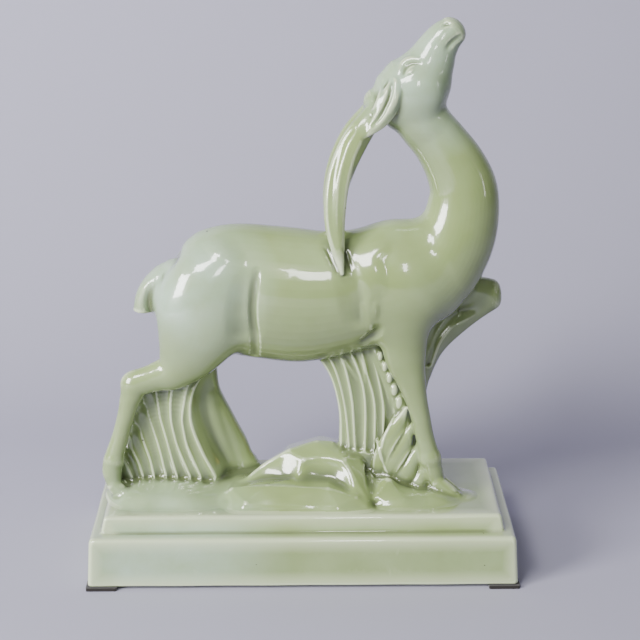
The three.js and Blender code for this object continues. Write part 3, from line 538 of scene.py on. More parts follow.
HORN = [
    (43, -11.5, 275.5, 5.4, 4.6), (41, -12.5, 271.5, 6.2, 5.4),
    (31.5, -14.5, 258, 7.6, 6.2), (24.5, -16.5, 244, 7.5, 6),
    (20.4, -18.5, 231, 6.9, 5.6), (18.8, -20.5, 217.5, 6.2, 5.1),
    (19, -22.5, 206.5, 5.2, 4.4), (20.4, -25, 197, 3.9, 3.4),
    (22.2, -27.6, 188, 2.3, 2.3), (23.2, -28.8, 183, 1.2, 1.2),
]
EAR = [
    (53, -16.5, 289.5, 3.4, 2.6), (51, -18.6, 283.5, 5.6, 3.2),
    (48.6, -19.6, 276.5, 6, 3.2), (44.6, -19.8, 269.5, 4.9, 2.8),
    (40, -19.6, 264, 3, 2.2), (36, -19.2, 260, 1.2, 1.2),
]
TAIL = central([
    (-76, 180, 4.6, 7), (-83.5, 176.4, 4.2, 7), (-89.3, 170.5, 4, 6.8),
    (-92.3, 163.5, 4.5, 6.4), (-93.4, 155, 5, 6),
])
CHEEK = (66.5, 8.5, 283)  # its y is from the plane of symmetry
CHEEK_RADII = (12, 6.5, 12)
KNUCKLES = [  # hocks, then fetlocks: centre, radii, blend
    ((-98.6, -18, 114), (7.2, 4.8, 7.2), 3), ((-66, 8.5, 115.5), (6, 5, 6), 3),
    ((75.6, -17, 66), (6.6, 5.9, 6), 2), ((-111.4, -18, 66), (5.8, 5.4, 5.4), 2),
]
HOOVES = [(-111.2, -18.5, 49.6, 8), (-36.1, 11, 57.1, 8), (80.8, -17.4, 49.8, 11)]  # x, y, z, length

# Lines on the near side of the body
FLANK_FOLD = [(-25.6, 180), (-27.3, 172), (-28.4, 164), (-29, 156), (-28.8, 148), (-28, 140),
              (-27.6, 132), (-28, 126)]
HAUNCH_FRONT = [(-29, 176), (-31.5, 166), (-32.8, 156), (-33, 146), (-32.5, 136)]
SHOULDER_EDGES = [
    [(50, 193), (41.5, 189.4), (36, 184), (37.4, 177), (40, 169), (41, 160), (41.5, 150)],
    [(48, 190), (42, 184), (44, 176), (47, 168)],
]
BEHIND_SHOULDER = [(36, 192), (30.5, 184), (30, 175), (32, 163), (34, 152), (37, 143)]
ELBOW = [(36, 133), (41, 137.5), (45, 142)]
ELBOW_WRINKLES = [[(36.3, 160), (36.9, 147)], [(39.4, 163), (40, 145)], [(43, 160), (42.6, 150)]]
HORN_BEDS = [[(25.9, 191), (27.7, 183.5), (29, 178)], [(13.6, 193), (17.1, 186), (20.8, 177)]]

# Lines on the face
BROW = [(55.3, 292.8), (58.1, 298.7), (62.5, 300.9), (68, 300.4)]
BROW_GROOVE = [(57, 291.8), (59.4, 296.8), (63, 298.9), (67.5, 298.6)]
UPPER_LID = [(59.3, 290.2), (60.3, 294.2), (62.9, 296.9), (65.3, 296.6)]
LOWER_LID = [(59.3, 290.2), (62.5, 291), (64.9, 293.6), (65.3, 296.6)]
EYEBALL = [(60.6, 292), (62.3, 293.8), (64, 295.4)]
MOUTH = [(90.3, 313.4), (86.5, 311.2), (83.7, 308.4), (82.6, 305.6)]
NOSTRIL = [(79.4, 320), (81.5, 320.5), (83.7, 320.6)]
EAR_GROOVE = [(51.1, 290), (50.9, 282.6), (48.7, 275.3), (44.8, 268.4), (39.8, 262.7)]
EAR_RIDGES = [[(48, 289.4), (45.6, 281), (43.1, 274.1), (39.7, 267.9), (35.8, 262.1)],
              [(53.4, 290), (55, 284.5), (53.3, 277.5), (49.6, 270.6)]]
HORN_RIDGE = [(40.3, 265.6), (35.8, 259.8), (33, 253.5), (29.6, 245.4), (27.1, 236.2),
              (25.1, 226.2), (24, 215.7), (23.1, 203.8), (23.1, 191.9)]
HORN_VALLEY = [(27.8, 262), (23, 254.1), (19.9, 243.7), (17.6, 232.1), (16.8, 217.5),
               (17.6, 203.9), (20.2, 192)]

# A stroke is (line, width, height, blend), and is a groove where the height is negative
BODY_STROKES = [
    (HAUNCH_FRONT, 4.5, -0.9, 4),
    (FLANK_FOLD, 2.1, -1.7, 1.8),
    (BEHIND_SHOULDER, 6, -1.1, 3),
    *((line, 3, 0.8, 3) for line in SHOULDER_EDGES),
    (ELBOW, 3, -1.8, 2),
    *((line, 1.6, 0.5, 1.2) for line in ELBOW_WRINKLES),
    *((line, 1.3, -0.8, 0.8) for line in HORN_BEDS),
]
FACE_STROKES = [
    (BROW, 1.6, 0.7, 1.2),
    (BROW_GROOVE, 0.9, -0.5, 0.6),
    (EYEBALL, 1.5, 0.8, 0.2),
    (UPPER_LID, 0.7, 0.6, 0.3),
    (LOWER_LID, 0.7, 0.5, 0.3),
    (MOUTH, 1.5, -0.8, 1.2),
    (NOSTRIL, 1.0, -0.7, 0.5),
    (EAR_GROOVE, 1.6, -1.6, 0.8),
    *((line, 1.4, 0.6, 1.2) for line in EAR_RIDGES),
    (HORN_RIDGE, 1.5, 0.8, 1.6),
    (HORN_VALLEY, 2, -0.7, 1.6),
]


def draw(clay, strokes):
    """Draws the strokes on both sides of the antelope."""
    for stroke in strokes:
        clay.stroke(*stroke, twin=True)


def toes(clay, x, y, z, length):
    """A cloven hoof: two toes side by side, sloping forwards."""
    for side in (-1, 1):
        clay.limb([
            (x - 1, y + side * 2.2, z + 2, 4.2, 3),
            (x + length * 0.3, y + side * 2.7, z - 1.8, 4.6, 3.1),
            (x + length * 0.7, y + side * 2.9, z - 4.2, 3.7, 3),
            (x + length, y + side * 2.7, z - 5.8, 2.2, 2.3),
        ], blend=0.7)


def antelope():
    clay = Clay((-122, -38, DECK - 3), (124, 24, cad_box[1][2] / MM + 5))
    clay.limb(TRUNK, ends=(0.62, 0.8))
    clay.limb(NECK, blend=12)
    for haunch, shank in ((HAUNCH, NEAR_SHANK), (mirrored(HAUNCH)[:4], FAR_SHANK)):
        clay.limb(haunch + shank, blend=6)
    clay.limb(SHOULDER + FORELEG, blend=7)
    clay.limb(mirrored(SHOULDER[:4]), blend=7)
    clay.limb(RAISED_ARM, blend=7)
    clay.limb(RAISED_CANNON, blend=4)
    clay.limb(CRANIUM, blend=7, ends=(1, 0.5))
    clay.limb(JAW, blend=4)
    clay.limb(MUZZLE, blend=4)
    x, y, z = CHEEK
    for side in (-1, 1):
        clay.pebble((x, MID_Y + side * y, z), CHEEK_RADII, blend=6)
    clay.limb(TAIL, blend=4, ends=(1, 0.15))
    for centre, radii, blend in KNUCKLES:
        clay.pebble(centre, radii, blend)
    draw(clay, BODY_STROKES)
    for side in (list, mirrored):
        clay.limb(side(HORN), blend=1.6)
        clay.limb(side(EAR), blend=1.4)
    draw(clay, FACE_STROKES)
    for hoof in HOOVES:
        toes(clay, *hoof)
    clay.cleaned()
    return clay


# ---------------------------------------------------------------- grasses and reeds
SHEAF = [
    (40, -113, -13, -50, -15, -33, 18, -103, 20),
    (54, -112, -13, -52.5, -15, -36, 17, -102, 19),
    (66, -110, -12.5, -58.5, -14.5, -39.5, 16, -100, 18),
    (80, -107, -12, -63.8, -14, -44, 15, -97, 17),
    (94, -102.5, -11.5, -66.3, -13.5, -49.5, 14, -94, 16),
    (108, -96, -11, -64.5, -13, -54, 13, -88, 15),
    (124, -86, -10, -58, -12, -56, 12, -80, 13),
]
SHEAF_CRESTS = [
    [(-112, 76), (-109, 68), (-105, 59), (-102, 50)],
    [(-105.1, 70), (-102.6, 64), (-98.8, 57), (-96, 49)],
    [(-102.2, 84), (-98.3, 75), (-94.3, 66.4), (-91.5, 59.3), (-89.4, 49)],
    [(-97.5, 98), (-92, 84.8), (-88.7, 75.9), (-85.4, 64.4), (-82.1, 49)],
    [(-90.5, 110), (-87.5, 96.2), (-85.9, 88), (-83.2, 78.4), (-80.5, 68.8), (-75.6, 49)],
    [(-77.1, 112), (-78.5, 99.3), (-78.7, 91.7), (-78.3, 84.1), (-76.7, 75.8), (-74.6, 67.5),
     (-67.8, 49)],
    [(-64, 113), (-68.3, 103), (-70.3, 95.4), (-71.7, 86.6), (-70.7, 77.7), (-68.6, 68.1),
     (-61, 49)],
    [(-57, 115), (-63.5, 106.7), (-66, 99.2), (-66.8, 91.6), (-66.4, 83.4), (-64.2, 75.1),
     (-60.8, 66.2), (-57.4, 57.8), (-52, 46)],
]
BACK_CRESTS = 4  # the first crest line that the sheaf's narrower back has too
SHEAF_FOLD = [(-56, 104), (-52.5, 88), (-47, 72), (-42, 58)]
SHEAF_WEB = [(-60, 5, 118, 9, 7), (-58, 6, 100, 9, 7), (-50, 7, 82, 9, 7), (-42, 8, 64, 9, 7),
             (-36, 8, 48, 10, 8)]
REEDS = [
    (40, 20, -12, 57, -13, 60, 13, 22, 14),
    (60, 20.5, -12, 57, -13, 61, 13, 22, 14),
    (78, 21.5, -11.5, 58, -12, 62, 13, 22.5, 14),
    (92, 21.3, -11.5, 60, -12, 63, 13, 22, 14),
    (106, 18.6, -11.5, 60, -12, 63, 13, 19.5, 14),
    (116, 14.8, -11.5, 56, -12, 61, 13, 16, 14),
    (126, 8.5, -11.5, 50, -12, 58, 12, 10, 14),
    (138, 2, -11, 46, -11, 54, 10, 4, 13),
]
REED_CRESTS = [
    [(9, 126), (14, 116.3), (17.4, 107), (20, 97), (21.6, 86), (22, 68)],
    [(14.7, 126), (18.8, 117), (21.7, 107.5), (24, 97), (25.6, 86.6), (27.5, 68)],
    [(21, 128), (25, 119), (27.5, 109), (29.3, 98.6), (30.4, 86.6), (31.5, 68)],
    [(27.5, 130), (31.8, 120.5), (34.8, 111.5), (36.8, 102), (37.8, 90), (37.5, 68)],
    [(34, 132), (37.1, 121.6), (39.2, 112), (42, 102), (43.4, 90), (43, 66)],
    [(38.5, 130), (42.4, 121.5), (45, 112), (47.2, 101.5), (48.6, 90), (48, 66)],
    [(42, 128), (47, 117), (50.4, 107.3), (53, 98.5), (54.8, 90), (55, 66)],
]
REED_TIPS = [[(22, 127), (29, 118), (33.5, 111)], [(33, 130), (36.8, 119), (37.6, 109)],
             [(41.5, 129), (46.2, 117.5), (50.5, 106), (53.5, 94)]]
BEADS = [(46.2, 126, 2), (48.9, 119.4, 2.2), (51.7, 112.4, 2.4), (54.6, 104.8, 2.7),
         (57.6, 96.6, 3)]
LEAVES = [
    [(47, -12, 52, 6, 3), (49.5, -14, 66, 7, 3.4), (54.5, -14, 80, 5.6, 3), (61.5, -13, 96, 1, 1)],
    [(52, -13, 50, 6, 3), (55, -15.5, 61, 6.6, 3.4), (60, -15, 73, 4.8, 3), (65.4, -14.5, 87, 1, 1)],
    [(58, -14, 47, 6.4, 3), (61, -16.5, 54, 6.4, 3.4), (65, -16.5, 63, 4.2, 3), (68.6, -16, 74, 1, 1)],
    [(67, -15, 44, 5, 3), (69, -17.5, 49, 4.8, 3), (71, -17.5, 56, 3, 2.4), (72, -17, 64, 1, 1)],
]
LEAF_BACKING = [(62, -5, 40, 11, 12), (62, -5, 58, 10, 11), (61.5, -6, 76, 7.5, 9),
                (60.5, -7, 92, 3.6, 6), (59, -8, 102, 2, 3)]
LEAF_RIMS = [
    [(61, 94.7), (56.3, 89), (52.2, 81.4), (48.7, 73.2), (47, 63.6), (47, 55)],
    [(64.1, 85.2), (58.3, 76.3), (54.1, 68.7), (51.2, 60.3), (49.5, 52)],
    [(67.3, 71.8), (63.8, 66.7), (60.2, 60.3), (56.7, 53.9), (54.3, 47)],
    [(45.1, 79), (45.7, 70), (47.6, 61.7), (50.7, 53.9), (54.3, 49)],
]
FROND = [
    [(66, 2, 84, 7, 6), (68, 4, 104, 7, 6), (73, 5.5, 120, 7, 5.5), (80.5, 7, 132, 6, 5),
     (90, 8, 141.5, 5, 4.6), (101, 8.5, 149, 3, 3.4)],
    [(66, 2, 108, 7, 6), (71, 3, 124, 9, 6), (78, 4.5, 138, 8.5, 5.5), (87, 6, 148, 5, 4.4)],
]
FROND_CRESTS = [[(103.4, 155), (95.5, 150), (88, 143.5), (81.1, 134.5), (77.4, 122)],
                [(93.7, 154.7), (86.8, 148), (81, 140.5), (76.5, 132.5), (73.6, 120)],
                [(81.5, 148), (76.9, 140), (74.1, 133), (72.6, 120)]]


def grass_sheaf(beast):
    clay = Clay((-122, -26, DECK - 3), (-24, 30, 130))
    clay.mesh(*column(SHEAF, 0.25))
    clay.limb(SHEAF_WEB, blend=9)
    clay.flutes(SHEAF_CRESTS, 2.2, 0.5)
    clay.flutes(SHEAF_CRESTS[BACK_CRESTS:], 2.2, 0.5, eye=BACK_EYE)
    clay.stroke(SHEAF_FOLD, 2.5, 0.7, 1.5)
    clay.glaze_onto(clay.neighbour(beast), 3)
    return clay


def reeds(beast):
    clay = Clay((-6, -28, DECK - 3), (108, 26, 162))
    clay.mesh(*column(REEDS, 0.4))
    clay.flutes(REED_CRESTS, 1.9, 0.5)
    clay.flutes(REED_CRESTS, 1.9, 0.5, eye=BACK_EYE)
    for line in REED_TIPS:
        clay.stroke(line, 1.4, 0.8, 0.6)
    for stations in FROND:
        clay.limb(stations, blend=3)
    clay.flutes(FROND_CRESTS, 1.6, 0.5)
    clay.limb(LEAF_BACKING, blend=3)
    for stations in LEAVES:
        clay.limb(stations, blend=0.8)
    for line in LEAF_RIMS:
        clay.stroke(line, 1.2, 0.8, 0.6)
    for x, z, size in BEADS:
        spot, _ = clay.seen(np.array([[x, z]]), EYE)
        clay.pebble(spot[0] + (0, 0.3, 0), (size * 0.85, 2.2, size * 1.45), blend=0.5)
    clay.glaze_onto(clay.neighbour(beast), 2.5)
    return clay


# ---------------------------------------------------------------- rocks and ground
BOULDER = [
    (-40, -13, 43), (-37, -15, 47), (-27, -13, 56), (-10.5, -9, 67), (-1, -7, 70.6),
    (9, -5, 73), (19, -5, 71.6), (27, -8, 67.5), (-4, -20, 62.5), (13, -15, 68.2),
    (28, -19, 64.2), (31, -31, 48), (15, -31, 49.5), (40, -34.5, 42), (-34, -19, 43),
    (36, -14, 62), (45, -20, 48), (48, -24, 42), (-24, 8, 48), (-8, 16, 60),
    (12, 17, 66), (30, 15, 62), (44, 12, 46), (-34, 2, 42), (0, 22, 42), (44, 16, 42),
]
SHELF = [
    (-48, -24, 40), (-44, -24, 47.5), (-24, -28, 52), (0, -31, 53), (18, -32, 51),
    (34, -34, 46), (40, -36, 40), (-36, -36, 44), (0, -38.5, 44.5), (24, -38.5, 43),
    (-40, -8, 46), (20, -10, 52), (-42, -37, 38), (34, -39, 38),
]
SIDE_ROCK = [
    (44, -22, 52), (50, -21, 55), (56, -22, 51), (50, -29, 47), (42, -31, 44.5), (57, -29, 44),
    (62, -24, 44), (40, -28, 42), (46, -33, 42), (60, -32, 42), (66, -22, 42), (54, -14, 50),
    (44, -14, 52), (42, -12, 42), (64, -14, 42),
]
MOUNDS = [
    ((-84, -8, 39), (35, 25, 13)), ((-96, -22, 40), (16, 12, 8)), ((-68, -22, 40), (22, 13, 8.5)),
    ((-42, -8, 39), (28, 22, 11)), ((-38, 6, 40), (16, 14, 11)), ((66, -12, 39), (25, 20, 10)),
    ((76, -24, 40), (15, 9, 6)), ((58, -27, 40), (14, 9, 8)), ((52, 2, 40), (20, 18, 9)),
    ((90, -16, 39), (12, 9, 5)),
]
SCOOPS = [((8, -51.4, 68.8), 34), ((-24.2, -46.7, 76.7), 39)]  # hollow facets: centre and radius
SHEAF_LIP = [(-104, -13, 45, 3), (-90, -16, 46.5, 3.5), (-70, -16.5, 46.8, 3.5), (-52, -14.5, 45, 3)]
BOULDER_CREASE = [(27.9, 73), (33.8, 66.3), (39, 57), (41.6, 46)]


def rocks(beast, *plants):
    clay = Clay((-122, -48, DECK - 3), (108, 28, 82))
    clay.rock(BOULDER, 4.5)
    for centre, radius in SCOOPS:
        clay.pebble(centre, [radius] * 3, blend=1.5, carve=True)
    clay.rock(SHELF, 3.5, blend=3)
    clay.rock(SIDE_ROCK, 3.5, blend=3)
    for centre, radii in MOUNDS:
        clay.pebble(centre, radii, blend=5)
    clay.strand(SHEAF_LIP, blend=3)
    clay.stroke(BOULDER_CREASE, 2.4, -1.6, 1.5)
    clay.wobble(0.3, 24)
    clay.cleaned()
    for other in (beast, *plants):
        clay.glaze_onto(clay.neighbour(other), 2.5)
    return clay


# ---------------------------------------------------------------- the plinth
PLINTH_WALL = 5.5
DRAIN_HOLES = [(38, 0, 6), (-76, 2, 8)]  # x, y, radius
STEP_TOP = 31.5
LEDGE = (7.3, 9.2)  # the lower step's tread along X and Y
STEP_LEAN, DECK_LEAN = 2.6, 4.2  # how far each step's walls lean in
STEP_HALF = PLINTH_HIGH[:2] - STEP_LEAN / 2
DECK_HALF = PLINTH_HIGH[:2] - LEDGE - DECK_LEAN
RIM_WIDTH = 9.0  # the pale band along the plinth's edges
STEP_ROUNDING, DECK_ROUNDING, FOOT_ROUNDING = 3.4, 2.4, 1.6
STEP_FILLET = 1.2  # where the deck's walls rise from the step
BORE_ROUNDING = 0.6
PIPE_GAP = 0.3  # between the lamp pipe and its bore
CORD_BORE = 6.5  # radius
CORD_BORE_ENDS = PLINTH_HIGH[1] - 10, PLINTH_HIGH[1] + 7  # y
SPARE = 5  # the room left round the plinth on its grid


def block(half_x, half_y, bottom, top, lean, corner=2.5):
    """A tapering block with rounded upright corners, as a column of rings."""
    turn = np.linspace(0, math.pi / 2, 7)
    rings = []
    for height in np.linspace(bottom, top, 4):
        inset = lean * (height - bottom) / (top - bottom)
        ring = []
        for quarter in range(4):
            angle = turn + quarter * math.pi / 2
            signs = np.array([(1, 1), (-1, 1), (-1, -1), (1, -1)][quarter])
            centre = signs * (half_x - inset - corner, half_y - inset - corner)
            ring.append(centre + corner * np.column_stack([np.cos(angle), np.sin(angle)]))
        plan = np.concatenate(ring)
        rings.append(np.column_stack([plan, np.full(len(plan), height)]))
    lid = rings[-1] * (1e-3, 1e-3, 1)
    base = rings[0] * (1e-3, 1e-3, 1)
    return np.concatenate([base, *rings, lid]), ring_quads(6, 28)


def levelled(clay, top, blend):
    """Planes the clay off at a height, with a rounded edge."""
    _, grid = clay.everywhere()
    above = (grid[2] - top).astype(np.float32)
    clay.d = -soft_min(-clay.d, -above, blend)


def plinth():
    half_x, half_y = PLINTH_HIGH[:2]
    foot, wall = PLINTH_LOW[2], PLINTH_WALL
    low, high = PLINTH_LOW - SPARE, PLINTH_HIGH + SPARE
    clay, upper = Clay(low, high), Clay(low, high)
    clay.mesh(*block(half_x, half_y, foot - 9, STEP_TOP + 9, STEP_LEAN))
    levelled(clay, STEP_TOP, STEP_ROUNDING)
    inner = half_x - LEDGE[0], half_y - LEDGE[1]
    upper.mesh(*block(*inner, STEP_TOP - 5, DECK + 6, DECK_LEAN, corner=1.8))
    levelled(upper, DECK, DECK_ROUNDING)
    clay.d = soft_min(clay.d, upper.d, STEP_FILLET)
    _, grid = clay.everywhere()
    clay.d = -soft_min(-clay.d, (grid[2] - foot).astype(np.float32), FOOT_ROUNDING)
    clay.mesh(*block(half_x - wall, half_y - wall, -20, STEP_TOP - wall, 0), blend=2, carve=True)
    clay.mesh(*block(inner[0] - wall, inner[1] - wall, 0, DECK - wall, 0), blend=2, carve=True)
    bored(clay)
    clay.wobble(0.16, 60)
    clay.cleaned()
    return clay


def bored(clay):
    """Bores the plinth's deck for the lamp pipe and to drain, and its back for the cord."""
    pipe = (PIPE_LOW + PIPE_HIGH) / 2
    bores = [(pipe[0], pipe[1], (PIPE_HIGH - PIPE_LOW)[0] / 2 + PIPE_GAP), *DRAIN_HOLES]
    for x, y, radius in bores:
        clay.strand([(x, y, DECK - 20, radius), (x, y, DECK + 20, radius)], BORE_ROUNDING,
                    carve=True)
    cord = (GROMMET_LOW + GROMMET_HIGH) / 2
    clay.strand([(cord[0], y, cord[2], CORD_BORE) for y in CORD_BORE_ENDS], BORE_ROUNDING,
                carve=True)


def rims(points):
    """How near points are to the plinth's long edges: 1 at an edge, 0 from RIM_WIDTH away."""
    near = np.zeros(len(points))
    for (half_x, half_y), top in ((STEP_HALF, STEP_TOP), (DECK_HALF, DECK)):
        gaps = np.abs(np.abs(points) - (half_x, half_y, top))
        gaps[:, 2] = np.minimum(gaps[:, 2], np.abs(points[:, 2] - PLINTH_LOW[2]))
        near = np.maximum(near, 1 - np.sort(gaps, axis=1)[:, 1] / RIM_WIDTH)
    return np.clip(near, 0, 1) * (points[:, 2] < DECK + 1)


# ---------------------------------------------------------------- materials
class Nodes:
    """A material's node tree, built by short calls."""

    def __init__(self, name):
        self.material = bpy.data.materials.new(name)
        self.material.use_nodes = True
        self.tree = self.material.node_tree
        self.shader = self.tree.nodes["Principled BSDF"]

    def add(self, kind, settings=None, **inputs):
        node = self.tree.nodes.new(kind)
        for key, value in (settings or {}).items():
            setattr(node, key, value)
        for key, value in inputs.items():
            self.put(node, key.replace("_", " "), value)
        return node

    def put(self, node, key, value):
        socket = node.inputs[key]
        if isinstance(value, bpy.types.NodeSocket):
            self.tree.links.new(value, socket)
        else:
            socket.default_value = value

    def shade(self, **inputs):
        for key, value in inputs.items():
            self.put(self.shader, key.replace("_", " "), value)

    def attribute(self, name):
        return self.add("ShaderNodeAttribute", {"attribute_name": name}).outputs["Fac"]

    def share(self, value, start, end):
        """How far a value has gone from start to end, from 0 to 1."""
        node = self.add("ShaderNodeMapRange", Value=value, From_Min=start, From_Max=end)
        return node.outputs[0]

    def math(self, operation, a, b):
        node = self.add("ShaderNodeMath", {"operation": operation})
        self.put(node, 0, a)
        self.put(node, 1, b)
        return node.outputs[0]

    def mix(self, factor, a, b):
        node = self.add("ShaderNodeMix", {"data_type": "RGBA"})
        self.put(node, 0, factor)
        self.put(node, 6, a)
        self.put(node, 7, b)
        return node.outputs[2]

    def noise(self, place, scale, detail=3.0):
        node = self.add("ShaderNodeTexNoise", Vector=place, Scale=scale, Detail=detail)
        return node.outputs["Fac"]

    def ramp(self, factor, stops):
        """A colour ramp from (position, colour) pairs."""
        node = self.add("ShaderNodeValToRGB", Fac=factor)
        elements = node.color_ramp.elements
        while len(elements) < len(stops):
            elements.new(0.5)
        for element, (position, value) in zip(elements, stops):
            element.position = position
            element.color = value
        return node.outputs["Color"]


def colour(hex_code):
    """A scene-linear colour from a display one, such as 'AEB98F'."""
    parts = [int(hex_code[i:i + 2], 16) / 255 for i in (0, 2, 4)]
    return [c / 12.92 if c <= 0.04045 else ((c + 0.055) / 1.055) ** 2.4 for c in parts] + [1]


CELADON = [(0.3, colour("8C9F61")), (0.5, colour("94A66D")), (0.7, colour("9EB17B"))]
MILK = colour("B7CFBA")
# painted shade: the dark olive given to surfaces that face down, where shade falls
UNDERSIDE_SHADE = colour("67734A")
# thick glaze in hollows, and painted shade in recesses and where parts meet
POOLED_AND_SHADED = colour("667250")
GROOVED = colour("616D44")
RIMMED = colour("D0DBB4")
THINNED = colour("D2DEB7")
IRON = colour("3E3B25")
MILKY_SPOTS = [((-0.068, -0.03, 0.178), 0.045), ((-0.08, -0.058, 0.012), 0.06),
               ((0.070, -0.015, 0.297), 0.042)]  # centre and radius in metres


def milky(n, place):
    """How milky the glaze is: clouds round the milky spots."""
    milk = 0.0
    for centre, radius in MILKY_SPOTS:
        gap = n.add("ShaderNodeVectorMath", {"operation": "DISTANCE"})
        n.put(gap, 0, place)
        n.put(gap, 1, centre)
        near = n.share(gap.outputs["Value"], radius * 1.25, radius * 0.35)
        milk = n.math("MAXIMUM", milk, near)
    cloud = n.share(n.noise(place, 40.0, 5.0), 0.3, 0.7)
    return n.math("MULTIPLY", milk, n.math("ADD", n.math("MULTIPLY", cloud, 0.5), 0.45))


def speckled(n, place):
    """One in the middle of every seventh cell or so: the glaze's iron specks."""
    cells = n.add("ShaderNodeTexVoronoi", Vector=place, Scale=75.0)
    lot = n.add("ShaderNodeSeparateColor", Color=cells.outputs["Color"]).outputs[0]
    rare = n.share(lot, 0.86, 0.87)
    spot = n.share(cells.outputs["Distance"], 0.045, 0.03)
    return n.math("MULTIPLY", rare, spot)


def glaze_material():
    """Celadon: dark where it lies thick, pale where it runs thin, with painted shade on its undersides
    and, along with the thick glaze, in its hollows.
    """
    n = Nodes("celadon_glaze")
    edge, pool_and_shade = n.attribute("edge"), n.attribute("pool_and_shade")
    place = n.add("ShaderNodeTexCoord").outputs["Object"]
    tone = n.ramp(n.noise(place, 26.0), CELADON)
    tone = n.mix(milky(n, place), tone, MILK)
    normal = n.add("ShaderNodeNewGeometry").outputs["Normal"]
    upright = n.add("ShaderNodeSeparateXYZ", Vector=normal).outputs["Z"]
    # Painted shade: surfaces are darkened towards the underside colour the more they face down
    painted_under_shade = n.share(upright, 0.3, -0.7)
    tone = n.mix(n.math("MULTIPLY", painted_under_shade, 0.75), tone, UNDERSIDE_SHADE)
    # Hollows darken: partly glaze lying thick, partly painted shade in recesses and where parts meet
    tone = n.mix(n.share(pool_and_shade, 0.0, -0.16), tone, POOLED_AND_SHADED)
    tone = n.mix(n.share(edge, -0.12, -0.7), tone, GROOVED)
    tone = n.mix(n.math("MULTIPLY", n.attribute("rim"), 0.8), tone, RIMMED)
    tone = n.mix(n.math("MULTIPLY", n.share(edge, 0.2, 0.42), 0.8), tone, THINNED)
    tone = n.mix(speckled(n, place), tone, IRON)
    n.shade(Base_Color=tone, Roughness=0.2, IOR=1.5, Coat_Weight=1.0, Coat_Roughness=0.035,
            Coat_IOR=1.55, Subsurface_Weight=0.12, Subsurface_Radius=(0.002, 0.003, 0.0015),
            Subsurface_Scale=1.0)
    return n.material


def plain_material(name, hex_code, roughness, metallic=0.0, scale=300.0, grain=0.25, **more):
    """A material whose colour and roughness drift a little over the surface."""
    n = Nodes(name)
    place = n.add("ShaderNodeTexCoord").outputs["Object"]
    noise = n.noise(place, scale, 4.0)
    base = np.array(colour(hex_code))
    low = [*(base[:3] * (1 - grain)), 1]
    high = [*np.clip(base[:3] * (1 + grain), 0, 1), 1]
    rough = n.add("ShaderNodeMapRange", Value=noise, To_Min=roughness * 0.8,
                  To_Max=min(1.0, roughness * 1.2))
    n.shade(Base_Color=n.ramp(noise, [(0.3, low), (0.7, high)]), Metallic=metallic,
            Roughness=rough.outputs[0], **more)
    return n.material


GLAZE = glaze_material()
FINISHES = {
    "glaze": GLAZE,
    "felt": plain_material("felt", "1A1412", 0.95, scale=900, grain=0.5, Sheen_Weight=0.3),
    "rubber": plain_material("rubber", "1B1A19", 0.7),
    "brass": plain_material("brass", "B99A5B", 0.3, metallic=1.0, grain=0.1),
    "steel": plain_material("zinc_plate", "A5A5A2", 0.35, metallic=1.0, grain=0.1),
    "fibre": plain_material("vulcanised_fibre", "7A6247", 0.9),
    "phenolic": plain_material("phenolic", "2A1A12", 0.3, Coat_Weight=0.4),
    "bulb_glass": plain_material("lamp_glass", "F4F6F4", 0.03, grain=0.02,
                                 Transmission_Weight=1.0, IOR=1.45),
    "tungsten": plain_material("tungsten", "6A6A6C", 0.5, metallic=1.0, grain=0.1),
}


# ---------------------------------------------------------------- building the ceramic
class Hollows:
    """The curvature of all the ceramic together, over a few millimetres."""

    def __init__(self, clays):
        cell = CELL * 2
        low = np.min([clay.low for clay in clays], axis=0) - 8
        high = np.max([clay.low + CELL * np.array(clay.d.shape) for clay in clays], axis=0) + 8
        self.whole = Clay(low, high, cell)
        for clay in clays:
            first = np.round((clay.low - self.whole.low) / cell).astype(int)
            part = clay.d[::2, ::2, ::2]
            span = tuple(map(slice, first, first + part.shape))
            self.whole.d[span] = np.minimum(self.whole.d[span], part)
        self.whole.cleaned()
        self.bend = curvature(self.whole.d, cell, POOL_ROUNDS)

    def __call__(self, points):
        return self.whole.sample(self.bend, points)


def ceramic():
    beast = antelope()
    sheaf, reed_bed = grass_sheaf(beast), reeds(beast)
    base, bed = plinth(), rocks(beast, sheaf, reed_bed)
    for clay, fillet in ((sheaf, PLANT_FILLET), (reed_bed, PLANT_FILLET), (bed, GROUND_FILLET)):
        clay.glaze_onto(clay.neighbour(base), fillet)
        clay.keep_above(DECK - ROOTED)
        clay.cleaned()
    beast.keep_above(DECK - ROOTED)
    pieces = {
        "antelope": (beast, [
            "antelope_body", "antelope_head", "near_horn", "far_horn", "near_ear", "far_ear",
            "tail", "near_hind_leg", "far_hind_leg", "near_foreleg", "raised_foreleg"]),
        "sheaf": (sheaf, ["grass_sheaf"]),
        "reeds_and_leaves": (reed_bed, ["reed_clump", "knee_frond", "broad_leaves", "seed_stem"]),
        "rocks": (bed, ["boulder", "side_rock", "left_ground", "right_ground"]),
        "stepped_plinth": (base, ["plinth"]),
    }
    clays = [clay for clay, _ in pieces.values()]
    hollows = Hollows(clays)
    for name, (clay, nodes) in pieces.items():
        others = [other for other in clays if other is not clay]
        glazed(name, clay, others, hollows, nodes)


ceramic()
for part in frame["record"]["subparts"]:
    node = frame["nodes"][part["node"]]
    node.data.materials.clear()
    node.data.materials.append(FINISHES[part["material_slot"]])


